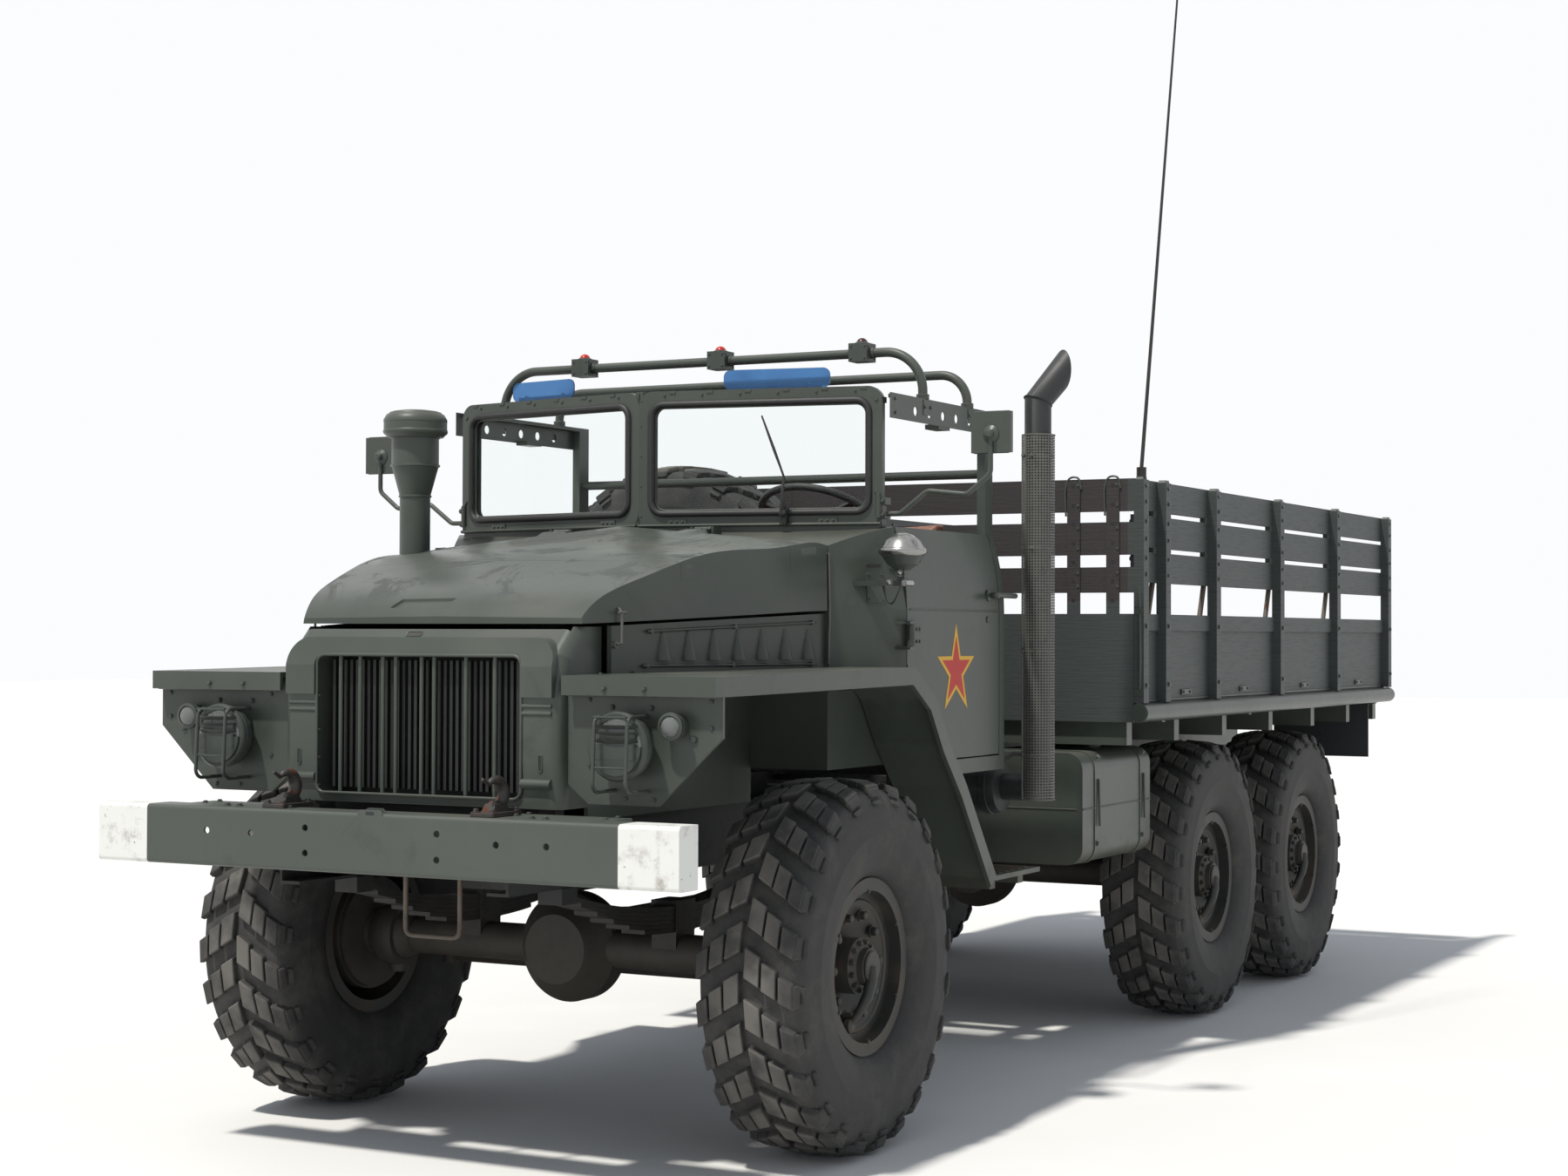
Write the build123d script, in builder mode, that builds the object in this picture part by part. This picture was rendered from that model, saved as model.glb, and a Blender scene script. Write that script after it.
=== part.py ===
from build123d import *
from math import atan2, cos, degrees, hypot, radians, sin
import os

# Six-wheeled military cargo truck with an open cab and a slatted bed. Millimetres.
# X points forward from mid-length, Y to the truck's left, Z up from the ground.

# Overall layout
LENGTH = 7350
FRONT = LENGTH / 2
REAR = -LENGTH / 2
AXLE_FRONT = FRONT - 1165
AXLE_REAR = REAR + 1260
AXLE_MID = AXLE_REAR + 1400
BOGIE_X = (AXLE_MID + AXLE_REAR) / 2
TRACK = 2000
WHEEL_Y = TRACK / 2
FIT = 0.3
RUNNING = 0.05
SWING_GAP = 6

# Wheels
TYRE_R = 615
TYRE_W = 380
BEAD_R = 256
RIM_FLANGE_R = 290
RIM_WIDTH = 284
RIM_WALL = 8
HUB_R = 92
SPINDLE_R = 50
SPINDLE_LENGTH = 175
BRAKE_R = 205
BRAKE_FACE = 150
HUB_CAP_R = 62

LUGS = 20
LUG_BASE_R = 592
LUG_HALF = 46
LUG_SWEEP = 92

# Frame
RAIL_OUT = 440
RAIL_FLANGE = 80
RAIL_HEIGHT = 210
RAIL_WALL = 10
RAIL_TOP = 1110
RAIL_BOTTOM = RAIL_TOP - RAIL_HEIGHT
RAIL_MID = RAIL_OUT - RAIL_FLANGE / 2
FRAME_REAR = REAR + 95
CROSSMEMBERS_X = (FRONT - 275, FRONT - 2425, FRONT - 3475, AXLE_MID + 375, BOGIE_X, AXLE_REAR - 335,
                  FRAME_REAR + 40)
CROSSMEMBER_DEPTH = 80
CROSSMEMBER_HEIGHT = 85

# Bumper
BUMPER_DEPTH = 110
BUMPER_LOW = 956
BUMPER_TOP = 1147
BUMPER_HALF = 1104
BUMPER_WALL = 8
BUMPER_HOLE_R = 11
HOLE_SPACING_Y = 503
HOLE_SPACING_Z = 79
HOLE_CENTRE_Z = 1053
BUMPER_BACK = FRONT - BUMPER_DEPTH

# Axles, springs and steering
AXLE_TUBE_R = 65
BOWL_R = 190
BOWL_DEPTH = 250
NOSE_R = 55
NOSE_LENGTH = 90
KINGPIN_Y = 750
BALL_R = 95
NECK_R = 48
KINGPIN_R = 20
TRUNNION_R = 36
KNUCKLE_GAP = 2
KNUCKLE_WALL = 17
STEER_ARM = 320
STEER_Z = TYRE_R - 110
SHAFT_Z = TYRE_R + 60
SHAFT_R = 42
TIE_ROD_R = 24
TIE_PIN_R = 14
SPRING_WIDTH = 90
SPRING_LEAF = 14
LEAF_GAP = 1
SPRING_LEAVES = 6
SPRING_SPAN = 1500
SPRING_RISE = 105
REAR_SPRING_SPAN = 1240

# Cab
CAB_REAR = FRONT - 2665
DOOR_REAR = CAB_REAR + 52
DOOR_FRONT = FRONT - 1785
COWL_FRONT = FRONT - 1545
CAB_HALF = 985
COWL_HALF = CAB_HALF - 185
WALL = 40
SKIN = 30
FLOOR_Z = 1230
FLOOR_THICK = 32
TUNNEL_TOP = 1480
SILL_Z = 1190
DOOR_LOW = 1250
WAIST_Z = 1790
BELT_HALF = CAB_HALF - 50
BELT_Z = 2085
HEADER_TOP = 2560
HEADER_HEIGHT = 90
HEADER_HOLE_R = 17
HEADER_HOLE_STEP = 120
PILLAR_DEPTH = 70
HINGE_OUT = 20
PIN_R = 8
BARREL_R = 14

# Windscreen
SCREEN_HALF = BELT_HALF - 33
SCREEN_SIDE_X = DOOR_FRONT + 28
SCREEN_NOSE_X = COWL_FRONT - 38
SCREEN_LOW = BELT_Z + 4
SCREEN_TOP = 2585
SCREEN_BORDER = 52
SCREEN_DEPTH = 38
GLASS_THICK = 6
OPENING_CORNER = 44

# Hood, mask and fenders
HOOD_FRONT = FRONT - 353
HOOD_GAP = 13
MASK_FRONT = FRONT - 227
MASK_BACK = FRONT - 475
MASK_HALF = 540
MASK_LOW = 1160
MASK_WALL = 26
GRILLE_HALF = 400
LAMP_X = MASK_FRONT - 56
GRILLE_LOW = 1185
GRILLE_TOP = 1636
BAR_R = 7
FENDER_HALF = 1090
FENDER_FRONT = MASK_FRONT - 8
FENDER_FRONT_Z = 1574
FENDER_CREST_X = AXLE_FRONT - 470
FENDER_CREST_Z = 1590
FENDER_SLOPE = (FENDER_CREST_Z - FENDER_FRONT_Z) / (FENDER_FRONT - FENDER_CREST_X)
FENDER_THICK = 18
FENDER_LIP = 60
STEP_REAR = CAB_REAR - 105
STEP_Z = 812

# Bed
BED_FRONT = FRONT - 3400
BED_REAR = REAR + 35
BED_HALF = 1300
BED_FLOOR_Z = 1425
BED_FLOOR_THICK = 45
BOARD_Y = 1240
BOARD_THICK = 25
BED_PANEL_TOP = 1790
BED_TOP = 2335
POST_DEPTH = 42
POST_WIDTH = 60


def block(x, y, z, mode=Mode.ADD):
    """Box between the low and high values of each axis."""
    with Locations(((x[0] + x[1]) / 2, (y[0] + y[1]) / 2, (z[0] + z[1]) / 2)):
        Box(x[1] - x[0], y[1] - y[0], z[1] - z[0], mode=mode)


def side_plate(points, y_low, y_high):
    """Plate with an (x, z) outline between two y values."""
    with BuildPart() as plate:
        with BuildSketch(Plane.XZ.offset(-y_high)):
            with BuildLine():
                Polyline(*points, close=True)
            make_face()
        extrude(amount=y_high - y_low)
    return plate.part


def front_plate(points, x_low, x_high):
    """Plate with a (y, z) outline between two x values."""
    with BuildPart() as plate:
        with BuildSketch(Plane.YZ.offset(x_low)):
            with BuildLine():
                Polyline(*points, close=True)
            make_face()
        extrude(amount=x_high - x_low)
    return plate.part


def drum(centre, direction, radius, length):
    """Round bar of a length, starting at centre and running along direction."""
    with BuildPart() as bar:
        with BuildSketch(Plane(origin=centre, z_dir=direction)):
            Circle(radius)
        extrude(amount=length)
    return bar.part


def tube(points, bend, diameter):
    """Round bar along straight runs that are joined by bends of one radius."""
    with BuildPart() as made:
        with BuildLine() as route:
            FilletPolyline(*points, radius=bend)
        wire = route.wire()
        with BuildSketch(Plane(origin=wire @ 0, z_dir=wire % 0)):
            Circle(diameter / 2)
        sweep(path=wire)
    return made.part


def turned(profile, centre, axis):
    """Solid of revolution: profile holds (radius, distance along the axis) points."""
    across = Vector(0, 0, 1) if abs(axis[2]) < 0.5 else Vector(1, 0, 0)
    with BuildPart() as made:
        plane = Plane(origin=centre, x_dir=across, z_dir=across.cross(Vector(*axis)))
        with BuildSketch(plane):
            with BuildLine():
                Polyline(*profile, close=True)
            make_face()
        revolve(axis=Axis(centre, axis))
    return made.part


def save(name, part):
    """Label a finished piece and write it."""
    part.label = name
    export_step(part, f"parts/{name}.step")


os.makedirs("parts", exist_ok=True)

# Frame: two channel rails with crossmembers and bumper horns
with BuildPart() as frame_rails:
    for side in (-1, 1):
        outer = sorted((side * RAIL_OUT, side * (RAIL_OUT - RAIL_FLANGE)))
        pocket = sorted((side * (RAIL_OUT - RAIL_WALL), side * (RAIL_OUT - RAIL_FLANGE)))
        block((FRAME_REAR, BUMPER_BACK), outer, (RAIL_BOTTOM, RAIL_TOP))
        block((FRAME_REAR, BUMPER_BACK), pocket, (RAIL_BOTTOM + RAIL_WALL, RAIL_TOP - RAIL_WALL),
              Mode.SUBTRACT)
        block((BUMPER_BACK - 60, FRONT - BUMPER_WALL), outer,
              (BUMPER_LOW + BUMPER_WALL + 2, RAIL_TOP - RAIL_WALL))
    for x in CROSSMEMBERS_X:
        block((x - CROSSMEMBER_DEPTH / 2, x + CROSSMEMBER_DEPTH / 2),
              (-RAIL_OUT + RAIL_WALL, RAIL_OUT - RAIL_WALL),
              (RAIL_TOP - RAIL_WALL - CROSSMEMBER_HEIGHT, RAIL_TOP - RAIL_WALL))
save("frame_rails", frame_rails.part)

# Bumper: channel beam open at the back, with deck plates behind its top edge
with BuildPart() as bumper:
    block((BUMPER_BACK, FRONT), (-BUMPER_HALF, BUMPER_HALF), (BUMPER_LOW, BUMPER_TOP))
    fillet(bumper.edges().filter_by(Axis.Y).group_by(Axis.X)[-1], radius=14)
    block((BUMPER_BACK, FRONT - BUMPER_WALL), (-BUMPER_HALF + BUMPER_WALL, BUMPER_HALF - BUMPER_WALL),
          (BUMPER_LOW + BUMPER_WALL, BUMPER_TOP - BUMPER_WALL), Mode.SUBTRACT)
    with BuildSketch(Plane.YZ.offset(FRONT - BUMPER_WALL * 2)):
        with Locations((0, HOLE_CENTRE_Z)):
            with GridLocations(HOLE_SPACING_Y, HOLE_SPACING_Z, 2, 2):
                Circle(BUMPER_HOLE_R)
        for y, z in ((468, 1068), (648, 1070)):
            with Locations((y, z), (-y, z)):
                Circle(BUMPER_HOLE_R)
    extrude(amount=BUMPER_WALL * 3, mode=Mode.SUBTRACT)
    for side in (-1, 1):
        deck = sorted((side * (GRILLE_HALF + 10), side * 810))
        block((MASK_FRONT + 4, BUMPER_BACK), deck, (BUMPER_TOP - BUMPER_WALL, BUMPER_TOP))
    add(front_plate([(-45, BUMPER_TOP), (45, BUMPER_TOP), (25, BUMPER_TOP + 14), (-25, BUMPER_TOP + 14)],
                    FRONT - 34, FRONT - 22))
save("bumper", bumper.part)

# Tow gear: two hooks on the bumper deck, a pintle at the frame's rear end, a rod loop under the crossmember
LOOP_X = CROSSMEMBERS_X[0]
LOOP_Y = 40
LOOP_HALF = 105
LOOP_LOW = 740
LOOP_TOP = RAIL_TOP - RAIL_WALL - CROSSMEMBER_HEIGHT
with BuildPart() as tow_gear:
    for side in (-1, 1):
        hook_y = side * RAIL_MID
        block((FRONT - 180, FRONT - 20), (hook_y - 42, hook_y + 42), (BUMPER_TOP, BUMPER_TOP + 14))
        with BuildSketch(Plane.XZ.offset(-hook_y - 18)):
            with Locations((FRONT - 95, BUMPER_TOP + 66)):
                Circle(58)
            with Locations((FRONT - 107, BUMPER_TOP + 30)):
                Rectangle(80, 60)
            with Locations((FRONT - 91, BUMPER_TOP + 70)):
                Circle(27, mode=Mode.SUBTRACT)
            with Locations((FRONT - 50, BUMPER_TOP + 92)):
                Rectangle(80, 30, mode=Mode.SUBTRACT)
        extrude(amount=36)
    block((FRAME_REAR - 18, FRAME_REAR - FIT), (-110, 110), (RAIL_BOTTOM + 20, RAIL_TOP - 20))
    with BuildSketch(Plane.XZ.offset(-28)):
        with Locations((FRAME_REAR - 46, RAIL_BOTTOM + 105)):
            Circle(44)
            Circle(20, mode=Mode.SUBTRACT)
    extrude(amount=56)
    add(tube([(LOOP_X, LOOP_Y - LOOP_HALF, LOOP_TOP), (LOOP_X, LOOP_Y - LOOP_HALF, LOOP_LOW),
              (LOOP_X, LOOP_Y + LOOP_HALF, LOOP_LOW), (LOOP_X, LOOP_Y + LOOP_HALF, LOOP_TOP)], 30, 16))
save("tow_gear", tow_gear.part)


def axle_housing(x, half_length):
    """Axle tube with its differential bowl and nose, as one solid."""
    with BuildPart() as housing:
        add(drum((x, -half_length, TYRE_R), (0, 1, 0), AXLE_TUBE_R, 2 * half_length))
        bowl = turned([(0, -BOWL_DEPTH / 2), (120, -BOWL_DEPTH / 2), (BOWL_R, -40), (BOWL_R, 40),
                       (120, BOWL_DEPTH / 2), (0, BOWL_DEPTH / 2)], (x, 0, TYRE_R), (1, 0, 0))
        add(bowl)
        for side in (-1, 1):
            block((x - 62, x + 62), (side * RAIL_MID - 48, side * RAIL_MID + 48), (TYRE_R, TYRE_R + 78))
    return housing.part


# Front axle: housing, spring seats and the balls that the knuckles turn on
with BuildPart() as front_axle:
    add(axle_housing(AXLE_FRONT, KINGPIN_Y - BALL_R + 5))
    add(drum((AXLE_FRONT, -KINGPIN_Y, TYRE_R), (0, 1, 0), NECK_R, 2 * KINGPIN_Y))
    add(drum((AXLE_FRONT - BOWL_DEPTH / 2 - NOSE_LENGTH, 0, SHAFT_Z), (1, 0, 0), NOSE_R, NOSE_LENGTH + 2))
    for side in (-1, 1):
        with Locations((AXLE_FRONT, side * KINGPIN_Y, TYRE_R)):
            Sphere(BALL_R)
            Cylinder(KINGPIN_R, 2 * BALL_R + 60)
save("front_axle", front_axle.part)

# Rear axles: two housings that end in spindles and brake backing plates
with BuildPart() as rear_axles:
    for x in (AXLE_MID, AXLE_REAR):
        add(axle_housing(x, WHEEL_Y - BRAKE_FACE))
        add(drum((x + BOWL_DEPTH / 2 - 2, 0, SHAFT_Z), (1, 0, 0), NOSE_R, NOSE_LENGTH + 2))
        for side in (-1, 1):
            back = side * (WHEEL_Y - BRAKE_FACE)
            add(drum((x, back, TYRE_R), (0, side, 0), BRAKE_R - 8, 12))
            add(drum((x, back, TYRE_R), (0, side, 0), SPINDLE_R, SPINDLE_LENGTH))
save("rear_axles", rear_axles.part)


def leaf_pack(x, y, span, leaves, seat_z, rise):
    """Stack of arched leaves, longest on top, that meet on the axle seat."""
    with BuildPart() as pack:
        for leaf in range(leaves):
            reach = span / 2 * (1 - 0.13 * leaf)
            lift = rise * (reach / (span / 2)) ** 2
            base = seat_z + (SPRING_LEAF + LEAF_GAP) * (leaves - 1 - leaf)
            with BuildSketch(Plane.XZ.offset(-y - SPRING_WIDTH / 2)):
                with BuildLine():
                    ThreePointArc((x - reach, base + lift), (x, base), (x + reach, base + lift))
                    Line((x + reach, base + lift), (x + reach, base + lift + SPRING_LEAF))
                    ThreePointArc((x + reach, base + lift + SPRING_LEAF), (x, base + SPRING_LEAF),
                                  (x - reach, base + lift + SPRING_LEAF))
                    Line((x - reach, base + lift + SPRING_LEAF), (x - reach, base + lift))
                make_face()
            extrude(amount=SPRING_WIDTH)
    return pack.part


# Leaf springs: front packs under the rails, rear balance packs over the bogie pivot
FRONT_SEAT_Z = TYRE_R + 78
with BuildPart() as leaf_springs:
    for side in (-1, 1):
        spring_y = side * RAIL_MID
        add(leaf_pack(AXLE_FRONT, spring_y, SPRING_SPAN, SPRING_LEAVES, FRONT_SEAT_Z, SPRING_RISE))
        end_z = FRONT_SEAT_Z + SPRING_RISE + (SPRING_LEAF + LEAF_GAP) * (SPRING_LEAVES - 1)
        for end in (-1, 1):
            end_x = AXLE_FRONT + end * (SPRING_SPAN / 2 - 30)
            block((end_x - 45, end_x + 45), (spring_y - SPRING_WIDTH / 2, spring_y + SPRING_WIDTH / 2),
                  (end_z - 25, RAIL_BOTTOM))
        block((AXLE_FRONT - 60, AXLE_FRONT + 60), (spring_y - 52, spring_y + 52),
              (FRONT_SEAT_Z, FRONT_SEAT_Z + (SPRING_LEAF + LEAF_GAP) * SPRING_LEAVES + 16))
        block((BOGIE_X - 130, BOGIE_X + 130), (spring_y - 60, spring_y + 60), (600, RAIL_BOTTOM))
        add(leaf_pack(BOGIE_X, spring_y, REAR_SPRING_SPAN, SPRING_LEAVES, TYRE_R + 85, -20))
        for x in (AXLE_MID, AXLE_REAR):
            block((x - 70, x + 70), (spring_y - 50, spring_y + 50), (TYRE_R + 78, TYRE_R + 120))
save("leaf_springs", leaf_springs.part)

# Drive line: engine and gearbox as plain masses, transfer case and shafts
ENGINE_REAR = COWL_FRONT + 30
GEARBOX_REAR = ENGINE_REAR - 710
TRANSFER_FRONT = CAB_REAR - 110
with BuildPart() as drive_line:
    block((ENGINE_REAR, ENGINE_REAR + 920), (-325, 325), (930, 1600))
    block((ENGINE_REAR + 40, ENGINE_REAR + 740), (-200, 200), (840, 930))
    block((GEARBOX_REAR, ENGINE_REAR), (-190, 190), (880, 1180))
    block((TRANSFER_FRONT - 340, TRANSFER_FRONT), (-260, 230), (600, 1090))
    add(drum((TRANSFER_FRONT, 0, 960), (1, 0, 0), 45, GEARBOX_REAR - TRANSFER_FRONT + 2))
    nose = BOWL_DEPTH / 2 + NOSE_LENGTH
    shaft_ends = ((TRANSFER_FRONT - 340, AXLE_MID + nose), (AXLE_FRONT - nose, TRANSFER_FRONT),
                  (AXLE_MID - BOWL_DEPTH / 2, AXLE_REAR + nose))
    for front_end, rear_end in shaft_ends:
        add(drum((rear_end, 0, SHAFT_Z), (1, 0, 0), SHAFT_R, front_end - rear_end))
save("drive_line", drive_line.part)


def knuckle():
    """Left steering knuckle: shell round the axle's ball, trunnions, spindle, backing plate and arm."""
    centre = (AXLE_FRONT, KINGPIN_Y, TYRE_R)
    inner = BALL_R + KNUCKLE_GAP
    outer = inner + KNUCKLE_WALL
    with BuildPart() as made:
        with Locations(centre):
            Sphere(outer)
            Cylinder(TRUNNION_R, 2 * outer + 40)
            Sphere(inner, mode=Mode.SUBTRACT)
            Cylinder(KINGPIN_R + RUNNING, 2 * BALL_R + 64, mode=Mode.SUBTRACT)
        block((AXLE_FRONT - 2 * outer, AXLE_FRONT + 2 * outer), (0, KINGPIN_Y - TRUNNION_R),
              (TYRE_R - 2 * outer, TYRE_R + 2 * outer), Mode.SUBTRACT)
        face = WHEEL_Y - BRAKE_FACE
        neck = KINGPIN_Y + 60
        add(drum((AXLE_FRONT, neck, TYRE_R), (0, 1, 0), 80, face - neck + 12))
        add(drum((AXLE_FRONT, face, TYRE_R), (0, 1, 0), BRAKE_R - 8, 12))
        add(drum((AXLE_FRONT, face, TYRE_R), (0, 1, 0), SPINDLE_R, SPINDLE_LENGTH))
        arm_x = AXLE_FRONT - STEER_ARM
        block((arm_x, AXLE_FRONT - outer + 14), (KINGPIN_Y - 26, KINGPIN_Y + 26),
              (STEER_Z + 32, STEER_Z + 58))
        add(drum((arm_x, KINGPIN_Y, STEER_Z + 32), (0, 0, 1), 26, 26))
        add(drum((arm_x, KINGPIN_Y, STEER_Z - 34), (0, 0, 1), TIE_PIN_R, 70))
        with Locations(centre):
            Sphere(inner, mode=Mode.SUBTRACT)
    return made.part


left_knuckle = knuckle()
save("knuckle_left", left_knuckle)
save("knuckle_right", left_knuckle.mirror(Plane.XZ))

# Tie rod: bar with an eye round each steering arm's pin
with BuildPart() as tie_rod:
    rod_x = AXLE_FRONT - STEER_ARM
    add(drum((rod_x, -KINGPIN_Y, STEER_Z), (0, 1, 0), TIE_ROD_R, 2 * KINGPIN_Y))
    for side, gap in ((1, RUNNING), (-1, 1)):
        add(drum((rod_x, side * KINGPIN_Y, STEER_Z - 27), (0, 0, 1), 30, 54))
        with Locations((rod_x, side * KINGPIN_Y, STEER_Z)):
            Cylinder(TIE_PIN_R + gap, 60, mode=Mode.SUBTRACT)
save("tie_rod", tie_rod.part)


def wheel_disc(centre, axis):
    """Rim, dished disc, brake drum and hub, turned as one piece; axis points outboard."""
    half = RIM_WIDTH / 2
    with BuildPart() as made:
        add(turned([(BEAD_R - FIT - RIM_WALL, -half), (RIM_FLANGE_R, -half), (RIM_FLANGE_R, -half + RIM_WALL),
                    (BEAD_R - FIT, -half + RIM_WALL), (BEAD_R - FIT, half - RIM_WALL),
                    (RIM_FLANGE_R, half - RIM_WALL), (RIM_FLANGE_R, half), (BEAD_R - FIT - RIM_WALL, half)],
                   centre, axis))
        add(turned([(HUB_R - 4, 20), (HUB_R + 30, 34), (BEAD_R - 40, 84), (BEAD_R - FIT - RIM_WALL + 1, 84),
                    (BEAD_R - FIT - RIM_WALL + 1, 98), (BEAD_R - 46, 98), (HUB_R + 26, 48), (HUB_R - 4, 34)],
                   centre, axis))
        add(turned([(SPINDLE_R + RUNNING, -BRAKE_FACE + 20), (HUB_R, -BRAKE_FACE + 20), (HUB_R, 110),
                    (HUB_CAP_R, 128), (HUB_CAP_R, 150), (0, 150), (0, SPINDLE_LENGTH - BRAKE_FACE + 3),
                    (SPINDLE_R + RUNNING, SPINDLE_LENGTH - BRAKE_FACE + 3)], centre, axis))
        add(turned([(BRAKE_R - 14, -BRAKE_FACE + 18), (BRAKE_R, -BRAKE_FACE + 18), (BRAKE_R, 30),
                    (HUB_R - 4, 30), (HUB_R - 4, 12), (BRAKE_R - 14, 12)], centre, axis))
    return made.part


def plain_tyre(tread_r):
    """Tyre ring about the Y axis at the origin, with beads against the rim flanges."""
    half = RIM_WIDTH / 2 - RIM_WALL - FIT
    side = TYRE_W / 2
    profile = [(BEAD_R, -half), (RIM_FLANGE_R + 4, -half), (RIM_FLANGE_R + 14, -side + 34), (430, -side),
               (535, -side + 6), (tread_r - 22, -side + 16), (tread_r, -side + 42)]
    profile += [(radius, -across) for radius, across in reversed(profile)]
    return turned(profile, (0, 0, 0), (0, 1, 0))


def lugged_tyre():
    """Tyre about the Y axis: carcass with staggered chevron lugs, cut to the tread's outer profile."""
    with BuildPart() as lugs:
        for side in (-1, 1):
            for lug in range(LUGS):
                turn = 360 / LUGS * (lug + (side + 1) / 4)
                reach = (TYRE_W / 2 - 3) * side
                with BuildSketch(Plane.XY.offset(LUG_BASE_R - 20)) as foot:
                    with BuildLine():
                        Polyline((-LUG_HALF, 0), (LUG_HALF, 0), (LUG_HALF + LUG_SWEEP, reach),
                                 (LUG_SWEEP - LUG_HALF, reach), close=True)
                    make_face()
                one = extrude(foot.sketch, amount=TYRE_R - LUG_BASE_R + 25, mode=Mode.PRIVATE)
                add(one.rotate(Axis.Y, turn))
        add(plain_tyre(TYRE_R), mode=Mode.INTERSECT)
    with BuildPart() as made:
        add(plain_tyre(LUG_BASE_R))
        add(lugs.part)
    return made.part


TREAD = lugged_tyre()


def tyre(centre, axis):
    """The lugged tyre, placed on a wheel whose axis points outboard."""
    if axis[0]:
        return TREAD.rotate(Axis.Z, -90).translate(Vector(*centre))
    turned_over = TREAD if axis[1] > 0 else TREAD.rotate(Axis.Z, 180)
    return turned_over.translate(Vector(*centre))


WHEELS = (("front", AXLE_FRONT), ("mid", AXLE_MID), ("rear", AXLE_REAR))
for row, x in WHEELS:
    for hand, side in (("left", 1), ("right", -1)):
        place = (x, side * WHEEL_Y, TYRE_R)
        save(f"disc_{row}_{hand}", wheel_disc(place, (0, side, 0)))
        save(f"tyre_{row}_{hand}", tyre(place, (0, side, 0)))

# Spare wheel: across the truck behind the cab, on a carrier that stands on the rails
SPARE_X = CAB_REAR - 450
SPARE_Y = -690
SPARE_Z = 1812
save("spare_disc", wheel_disc((SPARE_X, SPARE_Y, SPARE_Z), (1, 0, 0)))
save("spare_tyre", tyre((SPARE_X, SPARE_Y, SPARE_Z), (1, 0, 0)))
SPARE_REST_Z = SPARE_Z - TYRE_R - FIT
with BuildPart() as spare_carrier:
    for y in (-RAIL_MID, RAIL_MID):
        block((SPARE_X - 200, SPARE_X + 200), (y - 35, y + 35), (RAIL_TOP, SPARE_REST_Z - 60))
    block((SPARE_X - 200, SPARE_X - 120), (-1180, RAIL_OUT), (SPARE_REST_Z - 60, SPARE_REST_Z))
    block((SPARE_X + 120, SPARE_X + 200), (-1180, RAIL_OUT), (SPARE_REST_Z - 60, SPARE_REST_Z))
    for y in (-1180, -340):
        block((SPARE_X - 120, SPARE_X + 120), (y, y + 60), (SPARE_REST_Z - 60, SPARE_REST_Z))
    block((SPARE_X - 256, SPARE_X - 206), (SPARE_Y - 40, SPARE_Y + 40), (SPARE_REST_Z - 60, SPARE_Z + 60))
    block((SPARE_X - 207, SPARE_X - 199), (SPARE_Y - 40, SPARE_Y + 40), (SPARE_REST_Z - 60, SPARE_REST_Z))
    add(drum((SPARE_X - 207, SPARE_Y, SPARE_Z), (1, 0, 0), SPINDLE_R, SPINDLE_LENGTH - BRAKE_FACE + 207))
save("spare_carrier", spare_carrier.part)


def dome_points(half, low, side_z, shoulder_half, shoulder_z, crown_z):
    """Corner points of a hood-like section: upright sides, leaning shoulders and a creased crown."""
    return [(-half, low), (half, low), (half, side_z), (shoulder_half, shoulder_z), (0, crown_z),
            (-shoulder_half, shoulder_z), (-half, side_z)]


def dome_loft(sections, inset=0):
    """Loft through hood-like sections, shrunk inwards by inset."""
    with BuildPart() as made:
        for x, half, low, side_z, shoulder_half, shoulder_z, crown_z, radius in sections:
            with BuildSketch(Plane.YZ.offset(x)) as section:
                with BuildLine():
                    Polyline(*dome_points(half - inset, low, side_z, shoulder_half - inset,
                                          shoulder_z - inset, crown_z - inset), close=True)
                make_face()
                shoulders = [v for v in section.vertices() if abs(v.Z - shoulder_z + inset) < 0.01]
                fillet(shoulders, radius=radius)
        loft(ruled=False)
    return made.part


# Hood sections: x, half width, lower edge, side top, shoulder half width and height, crown, shoulder radius
HOOD_REAR_LOW = 1785
SHOULDER_Z = 2012
CROWN_Z = 2078
HOOD_SECTIONS = (
    (COWL_FRONT + HOOD_GAP, COWL_HALF, HOOD_REAR_LOW, 1800, COWL_HALF - 3, SHOULDER_Z, CROWN_Z, 190),
    (HOOD_FRONT - 951, 759, 1776, 1789, 756, 2001, 2047, 166),
    (HOOD_FRONT - 722, 717, 1765, 1778, 714, 1984, 2003, 140),
    (HOOD_FRONT - 322, 636, 1747, 1757, 633, 1906, 1917, 84),
    (HOOD_FRONT - 142, 592, 1739, 1747, 589, 1848, 1857, 58),
    (HOOD_FRONT - 50, 563, 1735, 1741, 560, 1801, 1809, 34),
    (HOOD_FRONT, 546, 1733, 1737, 543, 1751, 1757, 7),
)

# Cowl sections: from the hood's rear edge out to the cab's width
COWL_LOW = 1500
COWL_SECTIONS = (
    (COWL_FRONT, COWL_HALF, COWL_LOW, 1800, COWL_HALF - 3, SHOULDER_Z, CROWN_Z, 190),
    (COWL_FRONT - 120, CAB_HALF - 77, COWL_LOW, 1800, CAB_HALF - 120, 2054, 2084, 120),
    (DOOR_FRONT, CAB_HALF, COWL_LOW, WAIST_Z, BELT_HALF, BELT_Z, BELT_Z + 2, 20),
)
FIREWALL_X = COWL_FRONT - 35


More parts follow.
